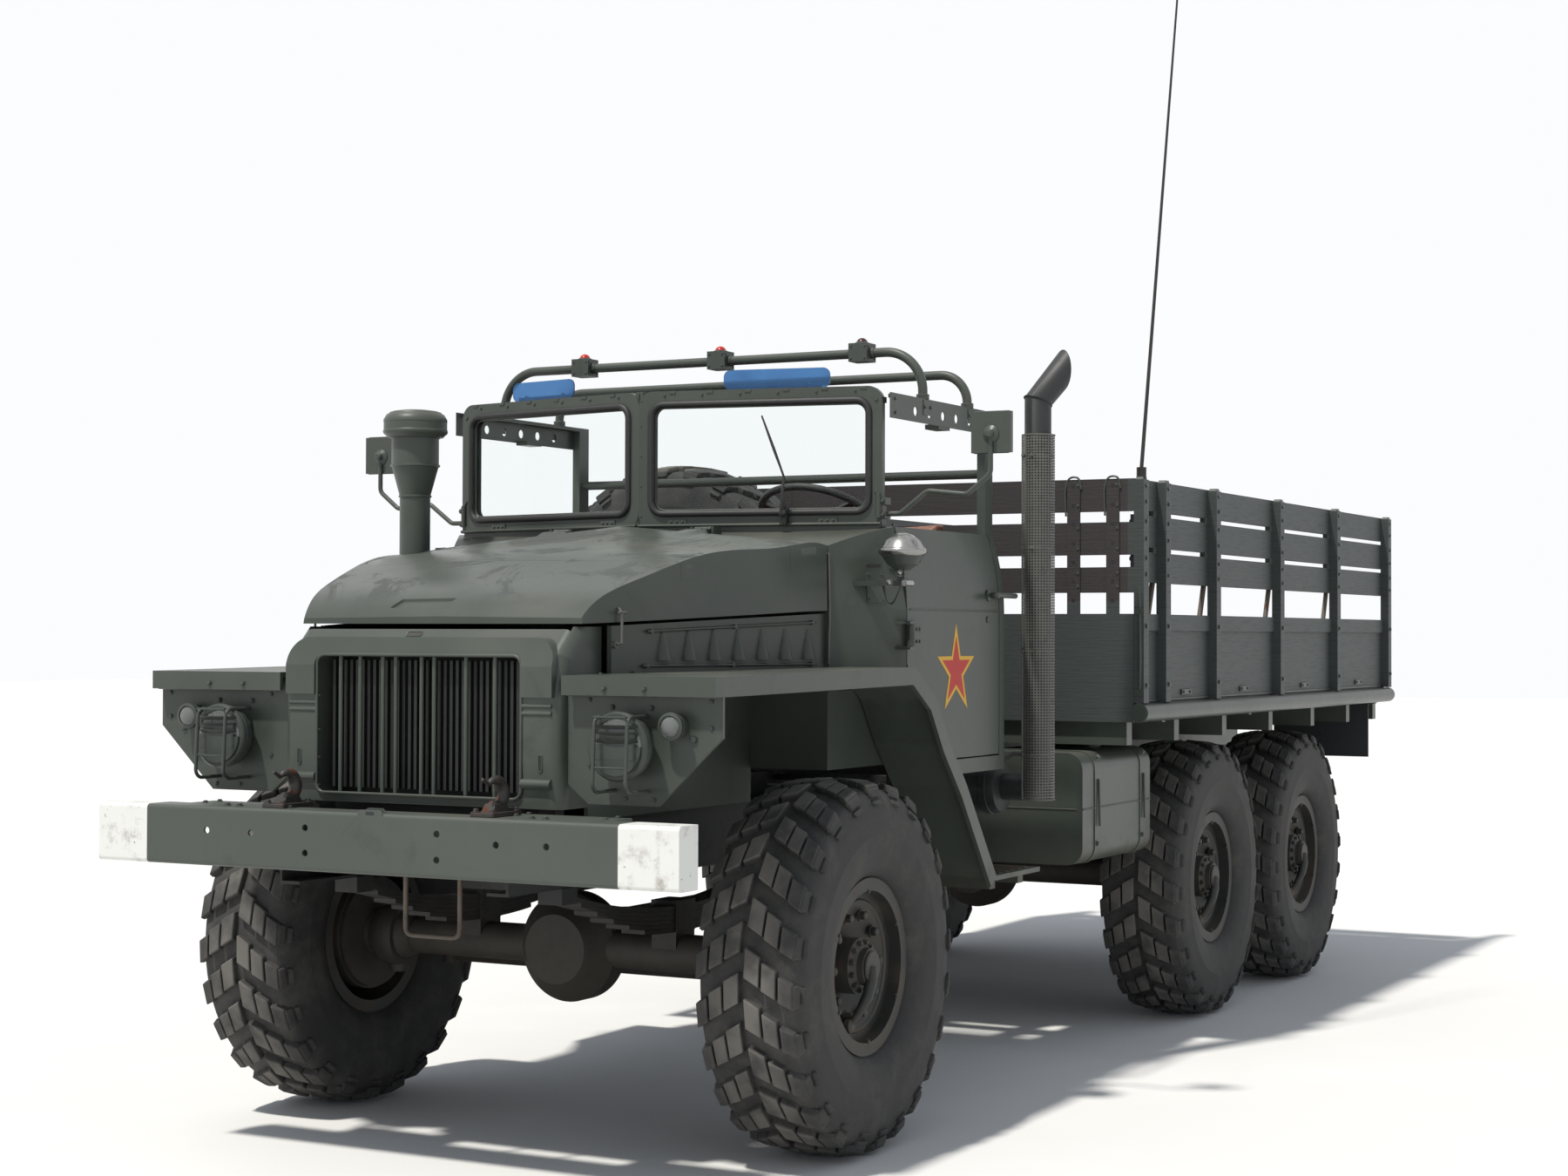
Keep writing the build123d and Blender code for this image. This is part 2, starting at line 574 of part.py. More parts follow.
def body_slab(x_low, x_high, low, inset=0):
    """Full-width slab with the cab's side curve, between two x values."""
    half = CAB_HALF - inset
    belt = BELT_HALF - inset
    bulge = (half + belt) / 2 + 12
    middle = (WAIST_Z + BELT_Z) / 2
    with BuildPart() as made:
        with BuildSketch(Plane.YZ.offset(x_low)):
            with BuildLine():
                Line((-half, low), (half, low))
                Line((half, low), (half, WAIST_Z))
                ThreePointArc((half, WAIST_Z), (bulge, middle), (belt, BELT_Z))
                Line((belt, BELT_Z), (-belt, BELT_Z))
                ThreePointArc((-belt, BELT_Z), (-bulge, middle), (-half, WAIST_Z))
                Line((-half, WAIST_Z), (-half, low))
            make_face()
        extrude(amount=x_high - x_low)
    return made.part


FENDER_LINE = ((FENDER_FRONT, FENDER_FRONT_Z), (FENDER_CREST_X, FENDER_CREST_Z), (AXLE_FRONT - 643, 1483),
               (AXLE_FRONT - 756, 1326), (AXLE_FRONT - 909, 1164), (AXLE_FRONT - 1181, STEP_Z))
DOOR_HINGES_Z = (1700, 1985)
HANDLE_Z = 1852
HOOD_HINGES_Y = (-300, 300)
HOOD_AXIS_X = COWL_FRONT + 5
HOOD_AXIS_Z = 2072


def hinge_ears(place, side):
    """Two ears and the pin of one door hinge, standing on the cowl's side."""
    x, y, z = place
    with BuildPart() as made:
        reach = sorted((side * (CAB_HALF - 55), y + side * BARREL_R))
        for low in (z - 50, z + 40):
            block((x, x + 40), reach, (low, low + 10))
            add(drum((x, y, low), (0, 0, 1), BARREL_R, 10))
        add(drum((x, y, z - 42), (0, 0, 1), PIN_R, 84))
    return made.part


# Cab tub: cowl shell, firewall, floor with tunnel, sills, rear wall, corner pillars and header rails
DOOR_FOOT = ((DOOR_FRONT - 250, DOOR_LOW), (DOOR_FRONT - 175, 1336), (DOOR_FRONT - 60, 1508),
             (DOOR_FRONT, 1610))
SILL_FRONT = DOOR_FOOT[0][0] - 40
FLOOR_HALF = COWL_HALF - 5
with BuildPart() as cab_tub:
    add(dome_loft(COWL_SECTIONS))
    inner = [(x if row else FIREWALL_X, half, low - 60, side_z, *upper)
             for row, (x, half, low, side_z, *upper) in enumerate(COWL_SECTIONS)]
    add(dome_loft(inner, inset=SKIN), mode=Mode.SUBTRACT)
    block((FIREWALL_X, COWL_FRONT), (25 - FLOOR_HALF, FLOOR_HALF - 25), (FLOOR_Z, COWL_LOW + 40))
    for side in (-1, 1):
        apron = sorted((side * (FLOOR_HALF - 25), side * FLOOR_HALF))
        block((DOOR_FRONT - 210, COWL_FRONT), apron, (FLOOR_Z, COWL_LOW + 5))
        sill = sorted((side * (CAB_HALF - 95), side * CAB_HALF))
        block((CAB_REAR, SILL_FRONT), sill, (SILL_Z, DOOR_LOW - SWING_GAP))
        lock_post = sorted((side * (CAB_HALF - 2 * WALL), side * (CAB_HALF - WALL - SWING_GAP)))
        block((CAB_REAR, DOOR_REAR + 30), lock_post, (FLOOR_Z, WAIST_Z))
    block((CAB_REAR, FIREWALL_X + 5), (-FLOOR_HALF, FLOOR_HALF), (FLOOR_Z, FLOOR_Z + FLOOR_THICK))
    block((CAB_REAR, SILL_FRONT), (90 - CAB_HALF, CAB_HALF - 90), (FLOOR_Z, FLOOR_Z + FLOOR_THICK))
    block((SILL_FRONT - 40, FIREWALL_X + 5), (-230, 230), (FLOOR_Z, TUNNEL_TOP))
    add(body_slab(CAB_REAR, DOOR_REAR - SWING_GAP, SILL_Z))
    add(body_slab(CAB_REAR + SKIN, DOOR_REAR, FLOOR_Z + FLOOR_THICK, inset=WALL), mode=Mode.SUBTRACT)
    for side in (-1, 1):
        rail = sorted((side * (BELT_HALF - 34), side * BELT_HALF))
        web = sorted((side * (BELT_HALF - 4), side * BELT_HALF))
        block((CAB_REAR, CAB_REAR + PILLAR_DEPTH), rail, (BELT_Z, HEADER_TOP))
        block((CAB_REAR, SCREEN_SIDE_X - SCREEN_DEPTH - 12), rail, (HEADER_TOP - 14, HEADER_TOP))
        block((CAB_REAR, SCREEN_SIDE_X), web, (HEADER_TOP - HEADER_HEIGHT, HEADER_TOP))
        with BuildSketch(Plane.XZ.offset(-web[1] - 1)):
            with Locations((CAB_REAR + 460, HEADER_TOP - 52)):
                with GridLocations(HEADER_HOLE_STEP, 1, 5, 1):
                    Circle(HEADER_HOLE_R)
        extrude(amount=6, mode=Mode.SUBTRACT)
    block((CAB_REAR, CAB_REAR + SKIN), (-BELT_HALF, BELT_HALF), (BELT_Z - 40, BELT_Z + 18))
    foot_half = SCREEN_HALF - 12
    foot_back = SCREEN_SIDE_X - SCREEN_DEPTH
    plinth = [(SCREEN_NOSE_X + 3, 0), (SCREEN_SIDE_X + 3, foot_half), (foot_back, foot_half),
              (SCREEN_NOSE_X - SCREEN_DEPTH - 8, 0), (foot_back, -foot_half), (SCREEN_SIDE_X + 3, -foot_half)]
    with BuildSketch(Plane.XY.offset(BELT_Z - SKIN)):
        with BuildLine():
            Polyline(*plinth, close=True)
        make_face()
    extrude(amount=SCREEN_LOW - BELT_Z + SKIN)
    drop = (COWL_FRONT + 1 - FENDER_CREST_X) * FENDER_SLOPE
    knee_x, knee_z = FENDER_LINE[2]
    under_fender = [(COWL_FRONT + 1, FENDER_CREST_Z - drop + FIT), (FENDER_CREST_X, FENDER_CREST_Z + FIT),
                    (knee_x, knee_z + FIT), (knee_x, COWL_LOW - 50), (COWL_FRONT + 1, COWL_LOW - 50)]
    for side in (-1, 1):
        add(side_plate(under_fender, *sorted((side * COWL_HALF, side * (CAB_HALF + 1)))), mode=Mode.SUBTRACT)
        for z in DOOR_HINGES_Z:
            add(hinge_ears((DOOR_FRONT + 3, side * (CAB_HALF + HINGE_OUT), z), side))
    for y in HOOD_HINGES_Y:
        for end in (-1, 1):
            ear = sorted((y + end * 38, y + end * 48))
            block((COWL_FRONT - 40, HOOD_AXIS_X + BARREL_R), ear, (HOOD_AXIS_Z - 30, HOOD_AXIS_Z + BARREL_R))
        block((HOOD_AXIS_X - BARREL_R - SWING_GAP, COWL_FRONT + 1), (y - 37, y + 37),
              (HOOD_AXIS_Z - BARREL_R - SWING_GAP, HOOD_AXIS_Z + 40), Mode.SUBTRACT)
        add(drum((HOOD_AXIS_X, y - 40, HOOD_AXIS_Z), (0, 1, 0), PIN_R, 80))
save("cab_tub", cab_tub.part)


def door(side):
    """Half-height door cut from the cab's side curve, with a pull handle at its rear edge."""
    with BuildPart() as made:
        add(body_slab(DOOR_REAR, DOOR_FRONT - SWING_GAP, DOOR_LOW))
        add(body_slab(DOOR_REAR - 1, DOOR_FRONT + 1, DOOR_LOW - 1, inset=WALL), mode=Mode.SUBTRACT)
        block((DOOR_REAR - 1, DOOR_FRONT + 1), (-BELT_HALF + WALL + 2, BELT_HALF - WALL - 2),
              (DOOR_LOW, BELT_Z + 1), Mode.SUBTRACT)
        away = sorted((0, -side * (CAB_HALF + 1)))
        block((DOOR_REAR - 1, DOOR_FRONT + 1), away, (DOOR_LOW - 1, BELT_Z + 1), Mode.SUBTRACT)
        clipped = [*DOOR_FOOT, (DOOR_FRONT + 5, DOOR_LOW - 2), (DOOR_FOOT[0][0], DOOR_LOW - 2)]
        add(side_plate(clipped, -CAB_HALF - 2, CAB_HALF + 2), mode=Mode.SUBTRACT)
        handle_y = side * (CAB_HALF - 4)
        add(drum((DOOR_REAR + 98, handle_y, HANDLE_Z), (0, side, 0), 11, 46))
        add(drum((DOOR_REAR + 108, side * (CAB_HALF + 34), HANDLE_Z), (-1, 0, 0), 10, 190))
        axis_y = side * (CAB_HALF + HINGE_OUT)
        for z in DOOR_HINGES_Z:
            strap = sorted((side * (CAB_HALF - 6), axis_y + side * 6))
            block((DOOR_FRONT - 70, DOOR_FRONT), strap, (z - 36, z + 36))
            with Locations((DOOR_FRONT + 3, axis_y, z)):
                Cylinder(BARREL_R, 76)
                Cylinder(PIN_R + RUNNING, 90, mode=Mode.SUBTRACT)
    return made.part


for name, side in (("door_left", 1), ("door_right", -1)):
    save(name, door(side))

# Hood: creased shell with a pressed pocket at its nose and two barrels on its rear edge
POCKET_DEPTH = 9
with BuildPart() as hood:
    add(dome_loft(HOOD_SECTIONS))
    last = len(HOOD_SECTIONS) - 1
    inner = [(x - (row == 0) - SKIN * (row == last), half, low - SKIN, side_z - SKIN, *upper)
             for row, (x, half, low, side_z, *upper) in enumerate(HOOD_SECTIONS)]
    add(dome_loft(inner, inset=SKIN), mode=Mode.SUBTRACT)
    with BuildPart() as pocket:
        with BuildSketch(Plane.XY.offset(HOOD_REAR_LOW)):
            with BuildLine():
                Polyline((HOOD_FRONT - 60, -184), (HOOD_FRONT - 60, 30), (HOOD_FRONT - 20, 0),
                         (HOOD_FRONT - 20, -215), close=True)
            make_face()
        extrude(amount=100)
        lowered = [(x, half, low - 1, side_z, *upper) for x, half, low, side_z, *upper in HOOD_SECTIONS]
        add(dome_loft(lowered, inset=POCKET_DEPTH), mode=Mode.SUBTRACT)
    add(pocket.part, mode=Mode.SUBTRACT)
    for y in HOOD_HINGES_Y:
        block((HOOD_AXIS_X, HOOD_AXIS_X + BARREL_R + SWING_GAP), (y - 55, y + 55),
              (HOOD_AXIS_Z - 60, HOOD_AXIS_Z + 20), Mode.SUBTRACT)
        block((HOOD_AXIS_X, HOOD_AXIS_X + 70), (y - 34, y + 34), (HOOD_AXIS_Z - 40, HOOD_AXIS_Z + 4))
        with Locations(Location((HOOD_AXIS_X, y, HOOD_AXIS_Z), (90, 0, 0))):
            Cylinder(BARREL_R, 68)
            Cylinder(PIN_R + RUNNING, 90, mode=Mode.SUBTRACT)
save("hood", hood.part)

# Windscreen: two flat frames that meet in a shallow V
SCREEN_RUN = hypot(SCREEN_HALF, SCREEN_NOSE_X - SCREEN_SIDE_X)
SCREEN_TURN = degrees(atan2(SCREEN_NOSE_X - SCREEN_SIDE_X, SCREEN_HALF))


def screen_plane(side, back):
    """Plane of one pane: x along it from the nose outwards, y up; back is the distance behind its face."""
    along = Vector(-sin(radians(SCREEN_TURN)), side * cos(radians(SCREEN_TURN)), 0)
    normal = along.cross(Vector(0, 0, 1))
    rearward = normal if normal.X < 0 else -normal
    return Plane(origin=Vector(SCREEN_NOSE_X, 0, 0) + rearward * back, x_dir=along, z_dir=normal)


def screen_pane(side, back, depth, border, hollow_border=None, corner=54):
    """Upright pane or frame, with its outline inset by border and its opening by hollow_border."""
    with BuildPart() as made:
        with BuildSketch(screen_plane(side, back + depth / 2)):
            with Locations((SCREEN_RUN / 2, (SCREEN_LOW + SCREEN_TOP) / 2)):
                RectangleRounded(SCREEN_RUN - 2 * border, SCREEN_TOP - SCREEN_LOW - 2 * border, corner)
                if hollow_border:
                    RectangleRounded(SCREEN_RUN - 2 * hollow_border,
                                     SCREEN_TOP - SCREEN_LOW - 2 * hollow_border,
                                     OPENING_CORNER, mode=Mode.SUBTRACT)
        extrude(amount=depth / 2, both=True)
    return made.part


with BuildPart() as windscreen_frame:
    for side in (-1, 1):
        add(screen_pane(side, 0, SCREEN_DEPTH, 0, SCREEN_BORDER))
        foot = sorted((side * (SCREEN_HALF - 40), side * (SCREEN_HALF - 1)))
        block((SCREEN_SIDE_X - SCREEN_DEPTH, SCREEN_SIDE_X), foot, (SCREEN_LOW, SCREEN_LOW + 70))
        block((SCREEN_SIDE_X - SCREEN_DEPTH, SCREEN_SIDE_X), foot, (SCREEN_TOP - 60, HEADER_TOP - 14))
    block((SCREEN_NOSE_X - 34, SCREEN_NOSE_X - 4), (-16, 16), (SCREEN_LOW, SCREEN_TOP))
save("windscreen_frame", windscreen_frame.part)

with BuildPart() as windscreen_glass:
    for side in (-1, 1):
        add(screen_pane(side, (SCREEN_DEPTH - GLASS_THICK) / 2, GLASS_THICK, SCREEN_BORDER + FIT,
                        corner=OPENING_CORNER))
save("windscreen_glass", windscreen_glass.part)

# Mask: pressed shell round the grille opening, with the upright bars fused in
MASK_TOP = 1730
VISOR_LOW = 1505
VISOR_TOP = 1690
VISOR_STEP = 12
PANEL_X = MASK_FRONT - VISOR_STEP
MASK_BEADS_Z = (1455, 1478)
MASK_BEAD_R = 7
SWAGE_Z = 1237
SWAGE_R = 16
BARS_Y = (-314, -236, -146, -95, 6, 55, 177, 287)


def on_front_corner(edge):
    """True for the long edges where the mask's front meets its sides."""
    middle = edge.center()
    outside = middle.X > PANEL_X - 80 and abs(middle.Y) > MASK_HALF - 1 and middle.Z < MASK_TOP - 10
    return outside and abs(edge.tangent_at(0.5).Y) < 0.1 and edge.length > 60


with BuildPart() as front_mask:
    outline = [(MASK_BACK, MASK_LOW), (PANEL_X - 6, MASK_LOW), (PANEL_X, 1300), (PANEL_X, VISOR_LOW),
               (PANEL_X - 24, 1640), (HOOD_FRONT + 8, MASK_TOP - 6), (MASK_BACK, MASK_TOP - 6)]
    add(side_plate(outline, -MASK_HALF, MASK_HALF))
    fillet(front_mask.edges().filter_by(on_front_corner), radius=46)
    for side in (-1, 1):
        bead = sorted((side * (GRILLE_HALF - 1), side * (MASK_HALF - 32)))
        for z, radius in (*((z, MASK_BEAD_R) for z in MASK_BEADS_Z), (SWAGE_Z, SWAGE_R)):
            add(drum((PANEL_X - 2, bead[0], z), (0, 1, 0), radius, bead[1] - bead[0]))
            add(drum((MASK_BACK + 6, side * (MASK_HALF - 2), z), (1, 0, 0), radius / 2,
                     LAMP_X - 22 - MASK_BACK))
    visor_profile = [(MASK_FRONT, VISOR_LOW), (MASK_FRONT, VISOR_LOW + 95), (MASK_FRONT - 30, VISOR_TOP),
                     (MASK_BACK + 20, VISOR_TOP), (MASK_BACK + 20, VISOR_LOW)]
    with BuildPart() as visor_band:
        add(side_plate(visor_profile, 24 - MASK_HALF, MASK_HALF - 24))
        with BuildSketch(Plane.YZ.offset(MASK_BACK)):
            with Locations((0, (VISOR_LOW + VISOR_TOP) / 2 - 60)):
                RectangleRounded(2 * MASK_HALF - 48, VISOR_TOP - VISOR_LOW + 120, 78)
        extrude(amount=MASK_FRONT - MASK_BACK + 1, mode=Mode.INTERSECT)
    add(visor_band.part)
    block((MASK_BACK - 1, MASK_FRONT - 110), (-MASK_HALF + MASK_WALL, MASK_HALF - MASK_WALL),
          (MASK_LOW - 1, MASK_TOP), Mode.SUBTRACT)
    with BuildSketch(Plane.YZ.offset(MASK_BACK)):
        with Locations((0, (GRILLE_LOW + GRILLE_TOP) / 2)):
            RectangleRounded(2 * GRILLE_HALF, GRILLE_TOP - GRILLE_LOW, 28)
    extrude(amount=MASK_FRONT - MASK_BACK + 1, mode=Mode.SUBTRACT)
    for y in BARS_Y:
        add(drum((PANEL_X - 18, y, GRILLE_LOW - 5), (0, 0, 1), BAR_R, GRILLE_TOP - GRILLE_LOW + 10))
save("front_mask", front_mask.part)

# Radiator: core with its side tanks, behind upright shutter slats
FIN_COUNT = 32
with BuildPart() as radiator:
    shutter = GRILLE_HALF - 30
    block((MASK_FRONT - 106, MASK_FRONT - 66), (-shutter, shutter), (GRILLE_LOW + 20, GRILLE_TOP - 20))
    with BuildSketch(Plane.XY.offset(GRILLE_LOW + 20)):
        with Locations((MASK_FRONT - 60, 0)):
            with GridLocations(1, 2 * (shutter - 12) / (FIN_COUNT - 1), 1, FIN_COUNT):
                Rectangle(16, 11)
    extrude(amount=GRILLE_TOP - GRILLE_LOW - 40)
    block((MASK_FRONT - 200, MASK_FRONT - 112), (-GRILLE_HALF, GRILLE_HALF),
          (RAIL_TOP + FIT, GRILLE_TOP + 30))
    block((MASK_FRONT - 113, MASK_FRONT - 105), (-shutter, shutter), (GRILLE_LOW + 20, GRILLE_TOP - 20))
save("radiator", radiator.part)


def fender_sheet(depth, y_low, y_high):
    """Band of a depth below the fender's top line."""
    with BuildPart() as sheet:
        with BuildSketch(Plane.XZ.offset(-y_high)):
            with BuildLine():
                top = FilletPolyline(*FENDER_LINE, radius=90)
                lower = offset(top, amount=depth, side=Side.LEFT, closed=True)
            make_face()
        extrude(amount=y_high - y_low)
    return sheet.part


# Fenders: crowned sheet with lips, inner aprons, louvre panels, lamp brackets and running boards
SIDE_PANEL_FRONT = (MASK_BACK - 4, 574)
SIDE_PANEL_REAR = (COWL_FRONT + 1, COWL_HALF - 14)
SIDE_PANEL_TURN = atan2(SIDE_PANEL_REAR[1] - SIDE_PANEL_FRONT[1], SIDE_PANEL_FRONT[0] - SIDE_PANEL_REAR[0])
LOUVRES = 7
LOUVRE_STEP = 122
LOUVRE_LOW = 1617
LOUVRE_HEIGHT = 102
FENDER_INNER = 478
STEP_FRONT = FENDER_LINE[-1][0] + 16
with BuildPart() as fenders:
    add(fender_sheet(FENDER_THICK, FENDER_INNER, FENDER_HALF))
    block((MASK_BACK - 1, FENDER_FRONT + 1), (FENDER_INNER - 1, MASK_HALF + 6), (1400, 1600), Mode.SUBTRACT)
    block((STEP_FRONT - 145, COWL_FRONT + 1), (FENDER_INNER - 1, COWL_HALF), (700, 1600), Mode.SUBTRACT)
    add(fender_sheet(FENDER_LIP, FENDER_HALF - 16, FENDER_HALF))
    block((FENDER_FRONT - 14, FENDER_FRONT), (MASK_HALF + 6, FENDER_HALF),
          (FENDER_FRONT_Z - FENDER_LIP, FENDER_FRONT_Z))
    block((COWL_FRONT + 1, MASK_BACK), (FENDER_INNER, FENDER_INNER + 14), (RAIL_TOP + 2, FENDER_FRONT_Z - 2))
    with BuildSketch(Plane.XY.offset(1520)):
        with BuildLine():
            Polyline(SIDE_PANEL_FRONT, SIDE_PANEL_REAR, (SIDE_PANEL_REAR[0], SIDE_PANEL_REAR[1] - 16),
                     (SIDE_PANEL_FRONT[0], SIDE_PANEL_FRONT[1] - 16), close=True)
        make_face()
    extrude(amount=258)
    for louvre in range(LOUVRES):
        x = COWL_FRONT + 95 + LOUVRE_STEP * louvre
        y = SIDE_PANEL_REAR[1] - (x - SIDE_PANEL_REAR[0]) * sin(SIDE_PANEL_TURN) / cos(SIDE_PANEL_TURN)
        with Locations(Location((x, y - 4, LOUVRE_LOW))):
            Cone(30, 9, LOUVRE_HEIGHT, align=(Align.CENTER, Align.CENTER, Align.MIN))
    above = [(COWL_FRONT, 1775), (MASK_BACK, 1727), (MASK_BACK, 1900), (COWL_FRONT, 1900)]
    add(side_plate(above, 470, 900), mode=Mode.SUBTRACT)
    lamp_top = FENDER_FRONT_Z - FENDER_THICK
    bracket = [(MASK_HALF, lamp_top), (FENDER_HALF - 2, lamp_top), (FENDER_HALF - 2, 1390), (866, 1180),
               (615, 1180), (MASK_HALF, 1240)]
    add(front_plate(bracket, LAMP_X - 12, LAMP_X))
    block((STEP_REAR, STEP_FRONT), (800, FENDER_HALF), (STEP_Z - FENDER_THICK, STEP_Z))
    for x in (CAB_REAR - 30, CAB_REAR + 240):
        block((x - 25, x + 25), (RAIL_OUT, 1040), (STEP_Z - FENDER_THICK - 40, STEP_Z - FENDER_THICK))
        block((x - 25, x + 25), (RAIL_OUT, RAIL_OUT + 14), (STEP_Z - FENDER_THICK - 40, 1020))
    mirror(about=Plane.XZ)
save("fenders", fenders.part)

# Lamps: shrouded headlamps with guards, small markers, and the searchlight on the left of the cowl
SEARCH_X = COWL_FRONT - 90
SEARCH_Y = CAB_HALF + 55
SEARCH_Z = 1924
SEARCH_FOOT = (CAB_HALF - 96.1, CAB_HALF - 126.6)
with BuildPart() as lamps:
    add(turned([(0, 0), (70, 0), (100, 40), (104, 62), (96, 78), (0, 84)], (LAMP_X, 770, 1362), (1, 0, 0)))
    for z in (1330, 1362, 1394):
        block((LAMP_X + 70, LAMP_X + 96), (700, 840), (z - 7, z + 7))
    for y in (712, 828):
        add(tube([(LAMP_X, y, 1452), (LAMP_X + 120, y, 1452), (LAMP_X + 132, y, 1225), (LAMP_X, y, 1225)],
                 30, 12))
    add(turned([(0, 0), (36, 0), (40, 30), (36, 44), (0, 50)], (LAMP_X, 935, 1424), (1, 0, 0)))
    mirror(about=Plane.XZ)
    searchlight = [(0, 0), (26, 2), (54, 22), (76, 56), (82, 64), (82, 72), (76, 78), (60, 104), (34, 122),
                   (0, 130)]
    add(turned(searchlight, (SEARCH_X, SEARCH_Y, SEARCH_Z), (0, 0, 1)))
    with BuildSketch(Plane.XY.offset(SEARCH_Z - 52)):
        with BuildLine():
            Polyline((SEARCH_X - 20, SEARCH_FOOT[0]), (SEARCH_X + 20, SEARCH_FOOT[1]),
                     (SEARCH_X + 20, SEARCH_Y + 20), (SEARCH_X - 20, SEARCH_Y + 20), close=True)
        make_face()
    extrude(amount=18)
    block((SEARCH_X - 15, SEARCH_X + 15), (SEARCH_Y - 14, SEARCH_Y + 14), (SEARCH_Z - 35, SEARCH_Z + 8))
save("lamps", lamps.part)

# Controls: dashboard, steering column and wheel, levers
WHEEL_HUB = Vector(DOOR_FRONT - 370, 450, 2135)
DASH_X = DOOR_FRONT - 90
DASH_HALF = BELT_HALF - 105
COLUMN_DIRECTION = Vector(0.5, 0, -0.866)
COLUMN_R = 24
with BuildPart() as controls:
    block((DASH_X, DASH_X + 70), (-DASH_HALF, DASH_HALF), (1860, 2030))
    block((DASH_X, FIREWALL_X), (-60, 60), (1900, 2000))
    drop_to_floor = WHEEL_HUB.Z - FLOOR_Z - FLOOR_THICK - COLUMN_R * COLUMN_DIRECTION.X - FIT
    add(drum(WHEEL_HUB, COLUMN_DIRECTION, COLUMN_R, -drop_to_floor / COLUMN_DIRECTION.Z))
    with Locations(Plane(origin=WHEEL_HUB, z_dir=COLUMN_DIRECTION)):
        Torus(225, 14)
        Cylinder(46, 40)
        with PolarLocations(0, 3):
            with Locations((115, 0, 0)):
                Box(230, 26, 12)
    for x, y, height in ((DASH_X - 110, 120, 420), (DASH_X - 160, -60, 300), (DASH_X - 190, 10, 260)):
        add(drum((x, y, TUNNEL_TOP + 2), (-0.15, 0, 1), 10, height))
        add(drum((x, y, TUNNEL_TOP), (0, 0, 1), 22, 4))
        with Locations((x - 0.15 * height, y, TUNNEL_TOP + height)):
            Sphere(24)
save("controls", controls.part)

CUSHION_EDGE = 26


def cushion(x, y, z):
    """Padded block with rounded edges."""
    with BuildPart() as made:
        block(x, y, z)
        fillet(made.edges(), radius=CUSHION_EDGE)
    return made.part


# Seats: driver's seat and a wider passenger bench, each on a base
SEAT_REAR = CAB_REAR + 75
with BuildPart() as seats:
    for low, high in ((170, 800), (-830, -90)):
        add(cushion((SEAT_REAR + 25, SEAT_REAR + 505), (low, high), (1530, 1680)))
        add(cushion((SEAT_REAR, SEAT_REAR + 115), (low, high), (1660, 2150)))
        block((SEAT_REAR + 45, SEAT_REAR + 455), (low + 30, high - 30), (FLOOR_Z + FLOOR_THICK, 1560))
save("seats", seats.part)

# Roof rails: two hoops over the cab, a rear bar and marker boxes with domes
RAIL_TUBE = 35
HOOP_X = CAB_REAR + 600
RAIL_LEG_Y = BELT_HALF - 18
with BuildPart() as roof_rails:
    for x, top, bend in ((HOOP_X, 2740, 150), (HOOP_X - 400, 2690, 110)):
        add(tube([(x, -RAIL_LEG_Y, HEADER_TOP), (x, -RAIL_LEG_Y, top), (x, RAIL_LEG_Y, top),
                  (x, RAIL_LEG_Y, HEADER_TOP)], bend, RAIL_TUBE))
    for y in (-540, 70, 670):
        block((HOOP_X - 38, HOOP_X + 38), (y - 38, y + 38), (2708, 2776))
        with Locations((HOOP_X, y, 2776)):
            Sphere(22)
    bar_y = BELT_HALF - 34 - FIT
    add(drum((CAB_REAR + 35, -bar_y, 2320), (0, 1, 0), RAIL_TUBE / 2, 2 * bar_y))
save("roof_rails", roof_rails.part)

# Visors: two tinted panes on the windscreen's top edge
with BuildPart() as visors:
    for side, along, width in ((1, 520, 400), (-1, 505, 320)):
        with BuildSketch(screen_plane(side, 22)):
            with Locations((along, SCREEN_TOP + 36)):
                RectangleRounded(width, 72, 26)
        extrude(amount=3, both=True)
save("visors", visors.part)

# Mirrors: bent arms from the windscreen's feet, with plates
MIRROR_HALF = 1385
MIRROR_WIDTH = 150
MIRROR_LOW = 2335
with BuildPart() as mirrors:
    arm_x = SCREEN_SIDE_X - SCREEN_DEPTH / 2
    post_y = MIRROR_HALF - MIRROR_WIDTH / 2
    add(tube([(arm_x, SCREEN_HALF - 1 + FIT, 2130), (arm_x, SCREEN_HALF + 63, 2130),
              (arm_x, SCREEN_HALF + 168, 2208), (arm_x, post_y - 88, 2192), (arm_x, post_y, 2262),
              (arm_x, post_y, MIRROR_LOW + 65)], 34, 18))
    block((SCREEN_SIDE_X - 40, SCREEN_SIDE_X - 22), (MIRROR_HALF - MIRROR_WIDTH, MIRROR_HALF),
          (MIRROR_LOW, MIRROR_LOW + 143))
    mirror(about=Plane.XZ)
save("mirrors", mirrors.part)

# Intake stack: capped air intake that stands on the right fender
INTAKE_X = COWL_FRONT + 130
INTAKE_Y = -COWL_HALF - 76
with BuildPart() as intake_stack:
    foot_z = FENDER_CREST_Z - (INTAKE_X - 78 - FENDER_CREST_X) * FENDER_SLOPE + FIT
    add(turned([(0, foot_z), (78, foot_z), (78, foot_z + 12), (57, foot_z + 20), (57, 2215), (88, 2330),
                (88, 2436), (104, 2436), (118, 2452), (118, 2500), (96, 2530), (0, 2536)],
               (INTAKE_X, INTAKE_Y, 0), (0, 0, 1)))
save("intake_stack", intake_stack.part)

